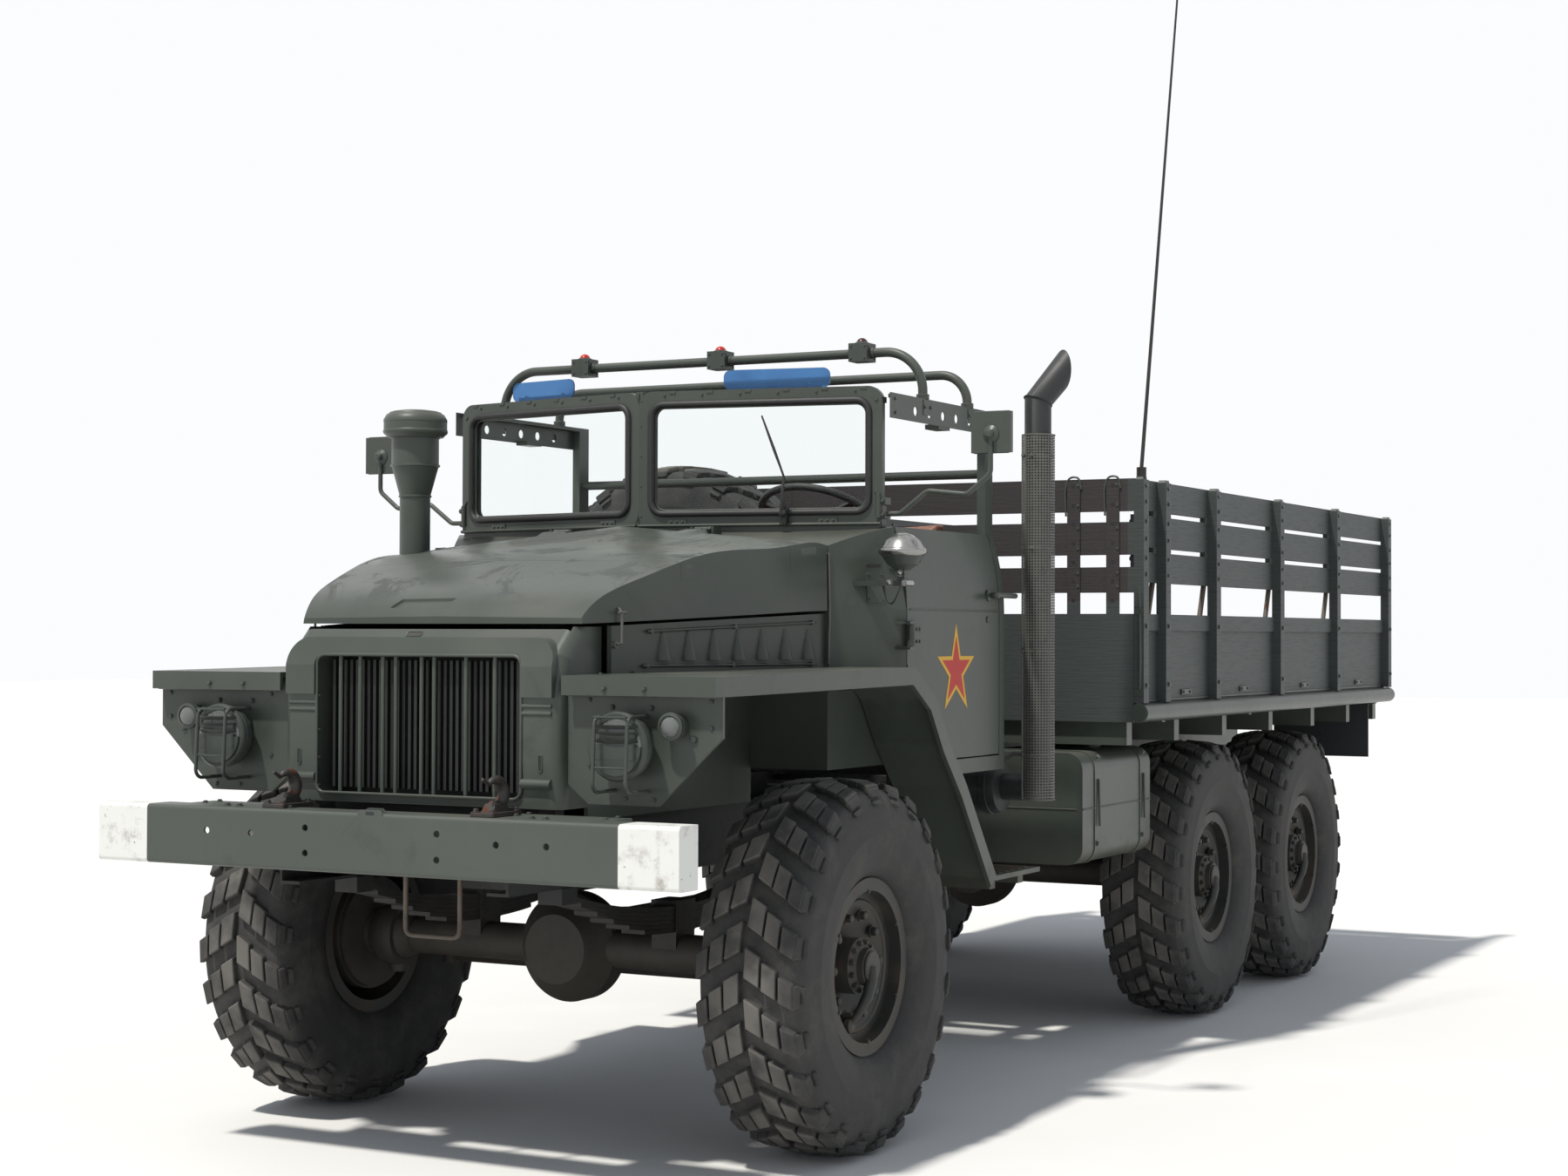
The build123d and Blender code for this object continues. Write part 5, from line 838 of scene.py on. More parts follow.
def star():
    """Plain five-pointed star on the left door: a yellow border and a red field."""
    x, z = 1.462, 1.570
    for name, kind, outer, low, high in (("door_star_border", "star_gold", 0.173, 0.9845, 0.9858),
                                         ("door_star_field", "star_red", 0.128, 0.9852, 0.9864)):
        radii = [outer * (0.385 if k % 2 else 1) for k in range(10)]
        points = [(x + r * cos(pi / 2 + pi / 5 * k), z + r * sin(pi / 2 + pi / 5 * k)) for k,
                  r in enumerate(radii)]
        faces = []
        for k in range(10):
            j = (k + 1) % 10
            faces += [(k, j, 10), (11 + j, 11 + k, 21), (k, 11 + k, 11 + j, j)]
        verts = [(u, y, v) for y in (low, high) for u, v in (*points, (x, z))]
        Shape().add(verts, faces).make(name, kind, "door_left", smooth=20)


def doors():
    """Crease, handle, lock and hinges outside; pull strap and stop inside."""
    for hand, side in zip(("left", "right"), SIDES):
        s = Shape()
        out = (0, side, 0)
        tree = skin_of(f"door_{hand}")
        crease = [land(tree, (1.08 + k * 0.098, side * 1.4, 1.792), (0, -side, 0)) for k in range(9)]
        s.pipe([hit + normal * 0.0004 for hit, normal in crease], 0.0035, 6)
        s.lathe([(0, 0.0), (0.022, 0.0), (0.022, 0.006), (0.012, 0.010), (0, 0.010)],
                (1.16, side * 0.983, 1.852), out, 20)
        s.lathe([(0.010, 0), (0.013, 0.004), (0.013, 0.020), (0, 0.024)], (1.168, side * 1.019, 1.852), AHEAD,
                14)
        lock, normal = land(tree, (1.17, side * 1.4, 1.76), (0, -side, 0))
        s.lathe([(0, -0.002), (0.013, -0.002), (0.013, 0.004), (0.009, 0.006), (0, 0.0055)], lock, normal, 18)
        for z in (1.700, 1.985):
            s.bolts([(x, side * 1.011, z + dz) for x in (1.835, 1.860) for dz in (-0.022, 0.022)], out, 0.006,
                    0.004)
            s.lathe([(0, 0.044), (0.011, 0.044), (0.009, 0.052), (0, 0.053)], (1.893, side * 1.005, z), UP,
                    14)
        y = land(tree, (1.475, side * 0.5, 1.72), out)[0].y
        s.pipe([(x, y - side * 0.004, 1.66) for x in (1.09, 1.86)], 0.004, 6, 1)
        s.box((1.16, y - side * 0.035, 1.89), (1.30, y, 1.91), 1)
        s.make(f"door_{hand}_trim", "paint rubber", f"door_{hand}", bevel=0.0008)


def roof_and_mirrors():
    s, glass = Shape(), Shape()
    for y in (-0.54, 0.07, 0.67):
        s.lathe([(0.0, 0.0), (0.028, 0.0), (0.028, 0.004), (0.022, 0.007), (0, 0.007)], (1.61, y, 2.775), UP,
                20)
        for dx in (-0.028, 0.028):
            for z in (2.720, 2.764):
                s.bolt((1.61 + dx, y + 0.038, z), LEFT, 0.0035, 0.003)
                s.bolt((1.61 + dx, y - 0.038, z), RIGHT, 0.0035, 0.003)
            s.bolts([(1.648, y + dy, 2.742 + dx * 0.8) for dy in (-0.028, 0.028)], AHEAD, 0.0035, 0.003)
        for side in SIDES:
            s.lathe([(0.019, 0.0), (0.021, 0.002), (0.021, 0.014), (0.019, 0.016)],
                    (1.61, y + side * 0.038, 2.74), (0, side, 0), 20)
    for side in SIDES:
        out = (0, side, 0)
        for x in (1.61, 1.21):
            s.lathe([(0.018, 0), (0.024, 0), (0.024, 0.018), (0.018, 0.020)], (x, side * 0.917, 2.56), UP, 20)
            s.box((x - 0.035, side * 0.936 - 0.0015, 2.50), (x + 0.035, side * 0.936 + 0.0015, 2.556))
            s.bolts([(x + dx, side * 0.9375, 2.53) for dx in (-0.024, 0.024)], out, 0.006, 0.005)
        s.bolts([(x, side * 0.935, z) for x in (1.03, 1.88) for z in (2.49, 2.54)], out, 0.0055, 0.005)
        s.box((1.40, side * 0.905 - 0.03, 2.46), (1.50, side * 0.905 + 0.026, 2.478))
        y = side * 1.31
        s.lathe([(0.030, 0.0), (0.031, 0.003), (0.024, 0.007), (0.016, 0.012), (0.017, 0.020), (0.011, 0.027),
                 (0, 0.028)], (1.896, y, 2.40), AHEAD, 20)
        spots = [(0.024 * cos(t), 0.024 * sin(t)) for t in (pi / 4 + pi / 2 * k for k in range(4))]
        s.bolts([(1.8965, y + u, 2.40 + v) for u, v in spots], AHEAD, 0.0035, 0.003)
        s.pipe([(1.888, y + u, 2.4065 + v) for u, v in rounded(0.0705, 0.0705, 0.008, 3)], 0.0042, 6,
               closed=True)
        glass.plate(rounded(0.069, 0.0655, 0.006, 3), lambda u, v, x: (x, y + u, 2.4065 + v), 1.8772, 1.879)
        for z in (2.125, 2.175):
            s.box((1.878, side * 0.901 - 0.006, z - 0.012), (1.922, side * 0.901 + 0.016, z + 0.012))
            s.bolt((1.922, side * 0.906, z), AHEAD, 0.007, 0.006)
    s.make("roof_fittings", bevel=0.0008)
    glass.make("mirror_glasses", "mirror", slot="glass")


def intake():
    """Clamps, lip, lid and foot bolts of the air intake's stack."""
    s = Shape()
    foot = (*STACK, 0)
    for z, r in ((2.215, 0.0575), (2.33, 0.0885), (2.436, 0.089)):
        s.lathe([(r, -0.005), (r + 0.004, -0.003), (r + 0.004, 0.003), (r, 0.005)], (*STACK, z), UP, 40)
    s.lathe([(0.1165, 2.448), (0.1205, 2.454), (0.1205, 2.462), (0.117, 2.466)], foot, UP, 48)
    s.lathe([(0.119, 2.494), (0.1185, 2.503), (0.108, 2.521), (0.085, 2.5335), (0.05, 2.5385), (0, 2.5395)],
            foot, UP, 48)
    turns = [pi / 3 * k + 0.4 for k in range(6)]
    s.bolts([(foot[0] + 0.068 * cos(t), foot[1] + 0.068 * sin(t), 1.605) for t in turns], UP, 0.007, 0.006)
    s.lathe([(0.0575, 1.86), (0.0605, 1.863), (0.0605, 1.877), (0.0575, 1.88)], foot, UP, 40)
    s.make("intake_bands", smooth=50)


def around_stack(turn, radius, z):
    """A place round the exhaust's upright pipe."""
    return Vector((EXHAUST_X + radius * cos(turn), EXHAUST_Y + radius * sin(turn), z))


def exhaust_pipe():
    """Silencer, bend and upright pipe, with a mitred tip that leans outwards and is cut off upright."""
    x, y, r, steps = EXHAUST_X, EXHAUST_Y, 0.052, 32
    s = Shape()
    s.lathe([(0, 0.0), (0.060, 0.0), (0.098, 0.008), (0.105, 0.030), (0.105, 0.440), (0.098, 0.462),
             (0.060, 0.470), (0, 0.470)], (x, 0.440, 1.110), LEFT, 40)
    for along in (0.07, 0.40):
        s.lathe([(0.104, 0), (0.110, 0.002), (0.110, 0.030), (0.104, 0.032)], (x, 0.440 + along, 1.110), LEFT,
                40)
    s.pipe(arc_points([(x, 0.90, 1.110), (x, y, 1.110), (x, y, 1.40)], 0.085, 8), r, 28)
    lean, heading, end = radians(43), Vector((-0.86, 0.51, 0)), 0.120
    ahead = heading * sin(lean) + Vector((0, 0, cos(lean)))
    turning = Vector((x, y, 2.612))

    def cut(spot, short):
        """Runs a place on along the tip to the plane that ends it."""
        return spot + ahead * ((end - short - (spot - turning).dot(heading)) / sin(lean))

    foot = [around_stack(2 * pi * k / steps, r, 1.38) for k in range(steps)]
    mitre = []
    for spot in foot:
        drop = (spot - Vector((x, y, 1.38))).dot(heading) * sin(lean) / (1 + cos(lean))
        mitre.append(Vector((spot.x, spot.y, turning.z - drop)))
    wide = [turning + (spot - turning) * 1.07 for spot in mitre]
    lip = [cut(spot, 0) for spot in wide]
    inner = [cut(spot + (turning - spot) * 0.06, 0.004) for spot in wide]
    deep = [spot - ahead * 0.10 for spot in inner]
    faces = [(i * steps + k, i * steps + (k + 1) % steps, (i + 1) * steps + (k + 1) % steps,
              (i + 1) * steps + k) for i in range(4) for k in range(steps)]
    s.add(foot + mitre + lip + inner + deep, faces + [tuple(range(4 * steps, 5 * steps))])
    s.pipe([spot + (spot - turning).normalized() * 0.001 for spot in mitre], 0.0035, 6, closed=True)
    s.make("exhaust_pipe", "soot", slot="exhaust_black", smooth=35, replaces="exhaust")


def exhaust_guard():
    """Perforated sheet round the upright pipe, open towards the cab, with edge rods, clamps and a bracket."""
    low, high, radius = 1.065, 2.480, 0.066
    first, last = radians(-42), radians(222)
    columns, rows, hole = 26, 128, 0.29
    square = ((-1, -1), (1, -1), (1, 1), (-1, 1))

    def at(column, row):
        return around_stack(first + (last - first) * column / columns, radius,
                            low + (high - low) * row / rows)

    s = Shape()
    for c in range(columns):
        for w in range(rows):
            spots = [at(c + 0.5 + a * share, w + 0.5 + b * share) for share in (0.5, hole) for a, b in square]
            s.add(spots, [(0, 1, 5, 4), (1, 2, 6, 5), (2, 3, 7, 6), (3, 0, 4, 7)])
    s.make("exhaust_guard", "guard", slot="exhaust_black", smooth=50, replaces="exhaust")
    s = Shape()
    for edge in (0, columns):
        s.pipe([at(edge, 0), at(edge, rows)], 0.0042, 8)
    for w in (0, rows):
        s.pipe([at(columns * k / 20, w) for k in range(21)], 0.0030, 6)
    for z in (1.24, 1.64, 2.04, 2.40):
        s.pipe([around_stack(first + (last - first) * k / 16, 0.060, z) for k in range(17)], 0.0035, 6)
        for t in (first + 0.12, last - 0.12):
            s.bolt(around_stack(t, 0.067, z), (cos(t), sin(t), 0), 0.007, 0.006)
        s.pipe([around_stack(2 * pi * k / 20, 0.054, z) for k in range(20)], 0.0045, 6, closed=True)
        s.bolt(around_stack(0, 0.066, z), AHEAD, 0.006, 0.005)
    bracket = ((EXHAUST_Y - 0.05, 1.24), (0.945, 1.24), (0.885, 1.205))
    s.pipe([(EXHAUST_X, y, z) for y, z in bracket], 0.010, 8)
    s.make("exhaust_bands", "guard", slot="exhaust_black", smooth=50, replaces="exhaust")


def tow_fittings():
    """Front hooks on their plates, the rear pintle, and the rod loop under the bumper."""
    s = Shape()
    for side in SIDES:
        x, y = 3.575, side * 0.40
        s.plate(rounded(0.080, 0.044, 0.010, 3), lambda u, v, z: (x + u, y + v, z), 1.147, 1.161)
        s.bolts([(x + dx, y + dy, 1.161) for dx in (-0.062, 0.062) for dy in (-0.030, 0.030)], UP, 0.010,
                0.010)
        s.cage([(x + dx * w, y + dy * w * 0.55, z) for z, w in ((1.160, 1.0), (1.186, 0.72))
                for dx, dy in corners(0.045, -0.045, 0.045)])
        arc, radii = [], []
        for k in range(19):
            t = radians(-62 - k * 14.2)
            grow = 0.043 + 0.002 * sin(k / 3)
            arc.append((3.582 + grow * cos(t), y + 0.002 * sin(k), 1.216 + grow * sin(t)))
            radii.append(0.0205 - 0.0019 * max(0, k - 11))
        s.pipe([*arc, (3.648, y, 1.262)], [*radii, 0.005], 12)
    s.box((-3.598, -0.11, 0.92), (-3.5803, 0.11, 1.09))
    s.bolts([(-3.598, y, z) for y in (-0.085, 0.085) for z in (0.945, 1.065)], BACK, 0.012, 0.011)
    turns = [radians(20 + 16.5 * k) for k in range(20)]
    s.pipe([(-3.6245 + 0.032 * cos(t), 0, 1.005 + 0.032 * sin(t)) for t in turns],
           [0.018 - 0.0022 * max(0, k - 14) for k in range(20)], 12)
    s.lathe([(0, -0.004), (0.045, -0.004), (0.045, 0.006), (0.030, 0.010), (0, 0.010)], (-3.602, 0, 1.005),
            BACK, 24)
    s.make("tow_fittings", "rust", slot="bare_steel", bevel=0.0015, replaces="tow_gear")
    s = Shape()
    loop = [(3.40, y, z) for y, z in ((-0.065, 1.012), (-0.065, 0.742), (0.145, 0.742), (0.145, 1.012))]
    s.pipe(arc_points(loop, 0.03, 5), 0.0082, 10)
    s.make("towing_loop", "worn", slot="bare_steel", replaces="tow_gear")


def bed():
    """Bolts, caps, stakes and ties of the bed's boards; its lower pressings and slanting braces."""
    iron, seams, braces = Shape(), Shape(), Shape()
    face_y, inner_y = BOARD_Y + 0.042, BOARD_Y - 0.025
    for side in SIDES:
        out = (0, side, 0)
        for x in POSTS_X:
            for low, high in SIDE_BOARDS:
                for z in (low + 0.030, high - 0.030):
                    iron.bolt((x, side * face_y, z), out, 0.0075, 0.006)
                    iron.bolt((x, side * inner_y, z), (0, -side, 0), 0.0085, 0.004)
            iron.bolts([(x, side * face_y, z) for z in (1.50, 1.74)], out, 0.009, 0.007)
            iron.cage([(x + dx, side * (BOARD_Y + dy), z) for z, share in ((2.335, 1), (2.346, 0.8))
                       for dx, dy in corners(0.026 * share, 0.006, 0.036)])
            if -3.6 < x < 0.2:
                for z in (2.055, 2.205):
                    iron.box((x + 0.034, side * 1.218, z - 0.013), (x + 0.070, side * 1.2425, z + 0.013))
                braces.cage([(x + dx, side * y, z) for z, lean in ((1.788, 0.10), (1.925, 0.045))
                             for dx, y in corners(0.012, 1.219, 1.236, lean)])
        for x0, x1 in zip(POSTS_X, POSTS_X[1:]):
            middle = (x0 + x1) / 2
            if x0 - x1 > 0.5:
                iron.box((middle - 0.06, side * 1.2385, 1.452), (middle + 0.06, side * 1.2485, 1.474))
                iron.bolts([(middle + dx, side * 1.2485, 1.463) for dx in (-0.04, 0.04)], out, 0.006, 0.004)
        seams.box((BED_REAR + 0.01, side * 1.2395, 1.430), (BED_FRONT - 0.04, side * 1.2465, 1.440))
        handle = [(0.262, side * 1.262, 1.46), (0.268, side * 1.266, 1.60), (0.262, side * 1.262, 1.90)]
        iron.pipe(arc_points(handle, 0.02, 4), 0.009, 10)
        for z in (1.47, 1.80):
            iron.box((0.236, side * 1.241, z - 0.012), (0.274, side * 1.276, z + 0.012))
        iron.lathe([(0.0, -0.003), (0.036, -0.003), (0.040, 0.0), (0.036, 0.0032), (0, 0.0032)],
                   (BED_FRONT - 0.0025, side * 1.262, 1.388), AHEAD, 28)
        iron.lathe([(0.0, -0.003), (0.036, -0.003), (0.0, 0.0005)], (BED_REAR + 0.001, side * 1.262, 1.388),
                   BACK, 28)
        for x in (BED_FRONT - 0.30, -1.2, BED_REAR + 0.25):
            iron.box((x - 0.02, side * 1.21, 1.344), (x + 0.02, side * 1.262, 1.352))
    for y in (-1.15, -0.98, 0.98, 1.15):
        for k in range(7):
            iron.stud((BED_FRONT - 0.0004, y, 1.845 + k * 0.078), AHEAD, 0.0095, 0.0, 0.0008, 14, 1)
        for low, high in FRONT_BOARDS:
            iron.bolts([(BED_FRONT - 0.0008, y + 0.019, z) for z in (low + 0.025, high - 0.025)], AHEAD,
                       0.0055, 0.004)
        tie = ((0.003, -0.034, 2.19), (0.002, -0.036, 2.30), (0.002, -0.018, 2.345), (0.002, 0.020, 2.345),
               (0.003, 0.033, 2.30))
        iron.pipe(smooth_line([(BED_FRONT - dx, y + dy, z) for dx, dy, z in tie], 5), 0.0045, 8)
    iron.make("bed_ironwork", "paint rubber", bevel=0.001)
    seams.make("bed_pressings", bevel=0.0025)
    braces.make("bed_braces", "worn", bevel=0.001)


def rear_end():
    """Tailgate latches, tail lamps and the strips that hold the mud flaps."""
    s = Shape()
    for side in SIDES:
        s.stud((-3.648, side * 1.180, 1.70), (0, side, 0), 0.011, 0, 0.026, dome=0.002)
        s.pipe([(-3.650, side * 1.199, 1.70), (-3.652, side * 1.199, 1.63)], 0.006, 8)
    s.make("tailgate_latches", body="tailgate", bevel=0.001)
    tail, glow = Shape(), Shape()
    for side in SIDES:
        y = side * 1.03
        tail.box((-3.6225, y - 0.11, 1.262), (-3.614, y + 0.11, 1.366))
        for step, kind in ((-0.052, 1), (0.052, 0)):
            lamp = (-3.6215, y + side * step, 1.315)
            tail.lathe([(0.046, 0.0), (0.048, 0.022), (0.043, 0.030), (0.040, 0.026)], lamp, BACK, 28)
            tail.lathe([(0, 0.0), (0.046, 0.0), (0.042, 0.024), (0, 0.024)], lamp, BACK, 28)
            glow.lathe([(0.041, 0.024), (0.034, 0.036), (0.018, 0.041), (0, 0.042)], lamp, BACK, 28, kind)
    tail.make("tail_lamps", "lamp", bevel=0.0008)
    glow.make("tail_lenses", "red amber", slot="glass", smooth=60)
    s = Shape()
    for side in SIDES:
        y = side * 0.9665
        s.box((-3.389, y - 0.262, 1.335), (-3.371, y + 0.262, 1.365))
        for k in range(5):
            s.bolt((-3.371, y - 0.21 + 0.105 * k, 1.350), AHEAD, 0.007, 0.006)
            s.bolt((-3.389, y - 0.21 + 0.105 * k, 1.350), BACK, 0.007, 0.006)
    s.make("flap_strips", "chassis", bevel=0.001)


def tanks():
    """Filler cap, straps' tails, seams and drain of the tank, the box's lid opposite, and the step treads."""
    s = Shape()
    for x in (-0.200, 0.330):
        s.bolts([(x, 1.1045, z) for z in (0.86, 1.21)], LEFT, 0.009, 0.008)
        s.pipe([(x - 0.012, 1.108, 1.12), (x - 0.012, 1.112, 0.93)], 0.005, 8)
    cap_x, cap_y = -0.110, 0.900
    s.lathe([(0.048, 0), (0.054, 0.002), (0.054, 0.020), (0.046, 0.026), (0, 0.027)], (cap_x, cap_y, 1.244),
            UP, 28)
    s.cage([(cap_x + dx, cap_y + dy, z) for z in (1.268, 1.280) for dx, dy in corners(0.035, -0.006, 0.006)])
    s.pipe([(0.4815, 0.575 + 0.05 * k, 1.005) for k in range(11)], 0.003, 6)
    s.pipe([(-0.309, 1.1015, 1.005), (0.479, 1.1015, 1.005)], 0.0035, 6)
    s.stud((0.08, 0.83, 0.780), DOWN, 0.014, 0, 0.008, dome=0.002)
    s.box((-0.152, -1.062, 1.085), (0.382, -0.560, 1.124))
    for x in (-0.02, 0.25):
        s.box((x - 0.02, -1.068, 1.02), (x + 0.02, -1.060, 1.105))
        s.bolt((x, -1.068, 1.035), RIGHT, 0.007, 0.006)
    s.make("tank_fittings", bevel=0.001)
    s = Shape()
    for side in SIDES:
        for k in range(6):
            x = 0.96 + k * 0.062
            s.box((x, side * 0.84, 0.812), (x + 0.028, side * 1.06, 0.8155))
    s.make("step_treads", "worn", bevel=0.001)


def cab_controls():
    """Blank dials, knobs and a glove box lid on the dashboard, and three pedals."""
    s = Shape()
    board_x = 1.800
    dials = ((0.62, 1.965, 0.050), (0.46, 1.965, 0.050), (0.54, 1.895, 0.026), (0.38, 1.90, 0.026),
             (0.31, 1.965, 0.030))
    for y, z, r in dials:
        rim = [(0, -0.001), (r, -0.001), (r + 0.004, 0.004), (r + 0.001, 0.008), (r - 0.003, 0.004),
               (r - 0.004, 0.001)]
        s.lathe(rim, (board_x, y, z), BACK, 32)
        s.lathe([(r - 0.004, 0.0012), (0, 0.0012)], (board_x, y, z), BACK, 32, 1)
        middle = Vector((board_x - 0.0025, y, z))
        tip = Vector((0, sin(0.7 + y * 9), cos(0.7 + y * 9))) * (r * 0.7)
        s.pipe([middle - tip * 0.2, middle + tip], 0.0012, 5, 2)
    knob = [(0, 0), (0.009, 0), (0.009, 0.012), (0.006, 0.016), (0, 0.016)]
    for k in range(6):
        s.lathe(knob, (board_x, 0.20 - 0.05 * k, 1.90), BACK, 12)
    s.box((1.796, -0.62, 1.90), (1.801, -0.22, 2.00))
    s.box((1.788, -0.44, 1.985), (1.797, -0.40, 1.995))
    for y in (0.30, 0.46, 0.62):
        s.pipe([(2.02, y, 1.52), (1.97, y, 1.40), (1.93, y, 1.33)], 0.010, 8)
        s.cage([(x, y + dy, z) for x, z in ((1.905, 1.30), (1.942, 1.37), (1.897, 1.305), (1.934, 1.375))
                for dy in (-0.03, 0.03)])
    s.make("cab_controls", "rubber white red", slot="cab_fittings", bevel=0.0006)


def pad_cage(low, high, crown):
    """Closed cage of a cushion, thinner towards its edges; crown is the axis that swells."""
    n = 16
    step = n + 1
    centre = [(a + b) / 2 for a, b in zip(low, high)]
    half = [(b - a) / 2 - 0.012 for a, b in zip(low, high)]
    p, q = (i for i in range(3) if i != crown)
    verts = []
    for layer, thinning in ((-1, 0.10), (1, 0.34)):
        for i in range(step):
            for j in range(step):
                u, v = i / n * 2 - 1, j / n * 2 - 1
                point = [0, 0, 0]
                point[p] = centre[p] + half[p] * u * (1 - 0.035 * (1 - v ** 2) * abs(u) ** 6)
                point[q] = centre[q] + half[q] * v * (1 - 0.035 * (1 - u ** 2) * abs(v) ** 6)
                point[crown] = centre[crown] + layer * half[crown] * (1 - thinning * max(abs(u), abs(v)) ** 5)
                verts.append(point)
    quads = [(a, a + 1, a + step + 1, a + step) for i in range(n) for a in range(i * step, i * step + n)]
    upper = step * step
    faces = [quad[::-1] for quad in quads] + [tuple(upper + a for a in quad) for quad in quads]
    rim = [*range(0, n * step, step), *range(n * step, n * step + n), *range(upper - 1, n, -step),
           *range(n, 0, -1)]
    faces += [(a, b, b + upper, a + upper) for a, b in zip(rim, rim[1:] + rim[:1])]
    return verts, faces, centre, half


def pad(name, low, high, crown, channels):
    """Padded leather cushion: inflated with cloth, then given its sewn channels and a welt."""
    verts, faces, centre, half = pad_cage(low, high, crown)
    mesh = bpy.data.meshes.new(name)
    mesh.from_pydata(verts, [], faces)
    mesh.validate()
    made = bpy.data.objects.new(name, mesh)
    scene = bpy.context.scene
    scene.collection.objects.link(made)
    remesh = made.modifiers.new("even", "REMESH")
    remesh.mode, remesh.voxel_size = "VOXEL", 0.011
    last_frame = 20
    if last_frame > 1:
        cloth = made.modifiers.new("swell", "CLOTH")
        cloth.settings.use_pressure = True
        cloth.settings.uniform_pressure_force = 4
        cloth.settings.effector_weights.gravity = 0
        cloth.settings.quality = 4
        cloth.point_cache.frame_end = last_frame
        bpy.context.view_layer.update()
    scene.frame_set(1)
    rest = [v.co.copy() for v in made.evaluated_get(bpy.context.evaluated_depsgraph_get()).data.vertices]
    for frame_number in range(2, last_frame + 1):
        scene.frame_set(frame_number)
    swollen = bpy.data.meshes.new_from_object(made.evaluated_get(bpy.context.evaluated_depsgraph_get()))
    made.modifiers.clear()
    scene.frame_set(1)

    most, groove, groove_width, welt_width = 0.014, 0.011, 0.009, 0.012
    across = [i for i in range(3) if i != crown]
    line_axis = 1
    top = centre[crown] + half[crown] * 0.3
    welt = centre[crown] + half[crown] * 0.55
    for v, start in zip(swollen.vertices, rest):
        move = v.co - start
        if move.length > most:
            v.co = start + move * (most / move.length)
        if v.co[crown] > top:
            v.co[crown] -= max(groove * 2.718 ** (-((v.co[line_axis] - line) / groove_width) ** 2)
                               for line in channels)
        off = abs(v.co[crown] - welt)
        if off < welt_width:
            for i in across:
                v.co[i] += (centre[i] - v.co[i]) * 0.010 * (1 - off / welt_width)
    made.data = swollen
    swollen.materials.clear()
    swollen.materials.append(MAT["leather"])
    finer = made.modifiers.new("finer", "SUBSURF")
    finer.levels = finer.render_levels = 1
    swollen.shade_smooth()
    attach(made, "chassis")
    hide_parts("seats")


def seats():
    x, z = 0, 2
    s = Shape()
    for name, low_y, high_y, lines in (("driver", 0.17, 0.80, (0.28, 0.385, 0.485, 0.585, 0.69)),
                                       ("bench", -0.83, -0.09, (-0.72, -0.59, -0.46, -0.33, -0.20))):
        pad(f"seat_{name}_cushion", (1.120, low_y, 1.535), (1.585, high_y, 1.680), z, lines)
        pad(f"seat_{name}_back", (1.087, low_y, 1.690), (1.198, high_y, 2.148), x, lines)
        s.box((1.13, low_y + 0.03, 1.2625), (1.54, high_y - 0.03, 1.515))
        s.box((1.115, low_y + 0.01, 1.513), (1.585, high_y - 0.01, 1.537))
        for y in (low_y + 0.08, high_y - 0.08):
            s.pipe([(1.105, y, 1.53), (1.098, y, 1.70), (1.094, y, 2.05)], 0.012, 10)
            s.bolt((1.54, y, 1.42), AHEAD, 0.008, 0.006)
    s.make("seat_bases", "chassis", slot="cab_fittings", bevel=0.004, replaces="seats")


def camera():
    """Camera at the photograph's viewpoint."""
    yaw, pitch, roll = radians(207.98), radians(1.07), radians(0.164)
    ahead = Vector((cos(yaw) * cos(pitch), sin(yaw) * cos(pitch), sin(pitch)))
    right = Vector((sin(yaw), -cos(yaw), 0))
    up = right.cross(ahead)
    right, up = cos(roll) * right + sin(roll) * up, cos(roll) * up - sin(roll) * right
    data = bpy.data.cameras.new("camera")
    data.lens, data.sensor_width = 57.75, 36
    data.clip_end = 200
    made = bpy.data.objects.new("camera", data)
    made.matrix_world = Matrix((right, up, -ahead)).transposed().to_4x4()
    made.matrix_world.translation = (9.933, 4.768, 1.70)
    bpy.context.collection.objects.link(made)
    bpy.context.scene.camera = made


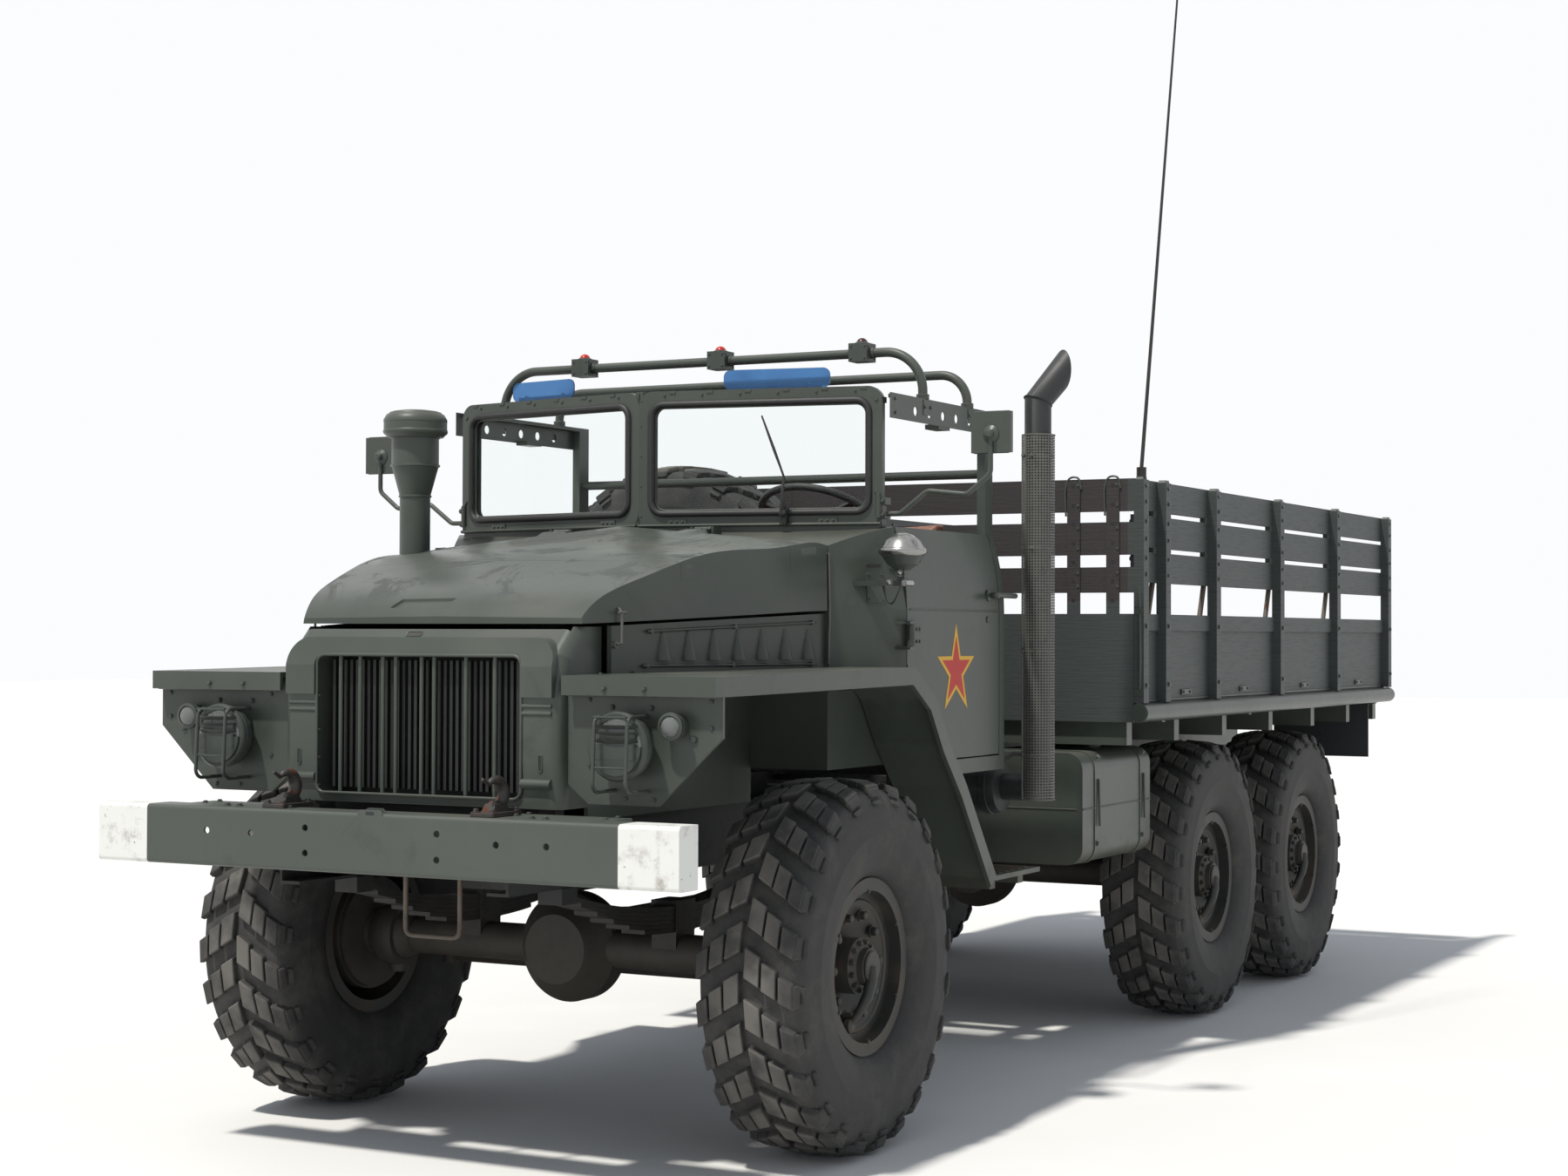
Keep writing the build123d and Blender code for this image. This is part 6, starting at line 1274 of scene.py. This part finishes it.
def stage_floor():
    """Pale ground that the camera sees as white, with the truck's shadow on it."""
    mesh = bpy.data.meshes.new("ground")
    mesh.from_pydata([(-60, -60, 0), (60, -60, 0), (60, 60, 0), (-60, 60, 0)], [], [(0, 1, 2, 3)])
    f = Finish("ground_pale", (0.80, 0.79, 0.77), 0.9)
    f.coat((0.84, 0.83, 0.81), f.band(f.noise(0.7, 3), 0.4, 0.7))
    mesh.materials.append(f.done())
    made = bpy.data.objects.new("ground", mesh)
    bpy.context.collection.objects.link(made)


def lights():
    """Blue sky light and a warm sun; the camera, glass and gloss see white instead of the sky."""
    world = bpy.data.worlds.new("sky")
    bpy.context.scene.world = world
    world.use_nodes = True
    tree = world.node_tree
    back, white = tree.nodes["Background"], tree.nodes.new("ShaderNodeBackground")
    for node, colour, strength in ((back, (0.80, 0.88, 1.0, 1), 0.46), (white, (0.97, 0.98, 1.0, 1), 1.0)):
        node.inputs["Color"].default_value = colour
        node.inputs["Strength"].default_value = strength
    path = tree.nodes.new("ShaderNodeLightPath")
    seen = path.outputs["Is Camera Ray"]
    for ray in ("Is Transmission Ray", "Is Glossy Ray"):
        either = tree.nodes.new("ShaderNodeMath")
        either.operation = "MAXIMUM"
        tree.links.new(seen, either.inputs[0])
        tree.links.new(path.outputs[ray], either.inputs[1])
        seen = either.outputs[0]
    mix = tree.nodes.new("ShaderNodeMixShader")
    for socket, value in zip(mix.inputs, (seen, back.outputs[0], white.outputs[0])):
        tree.links.new(value, socket)
    tree.links.new(mix.outputs[0], tree.nodes["World Output"].inputs[0])
    sun = bpy.data.lights.new("sun", "SUN")
    sun.energy, sun.angle, sun.color = 3.4, radians(3), (1.0, 0.97, 0.91)
    lamp = bpy.data.objects.new("sun", sun)
    lamp.rotation_euler = Vector((-0.419, 0.158, -0.895)).to_track_quat("-Z", "Y").to_euler()
    bpy.context.collection.objects.link(lamp)


for step in (wheels, dress_nodes, windscreen, wiper, visor_clips, cowl_bead, side_panel_trim, cowl_hatches,
             hood_cover, mask_trim, bumper_and_fenders, head_lamps, searchlight, star, doors,
             roof_and_mirrors,
             intake, exhaust_pipe, exhaust_guard, tow_fittings, bed, rear_end, tanks, cab_controls, seats,
             camera, stage_floor, lights):
    step()
bpy.context.scene.view_settings.view_transform = "Standard"
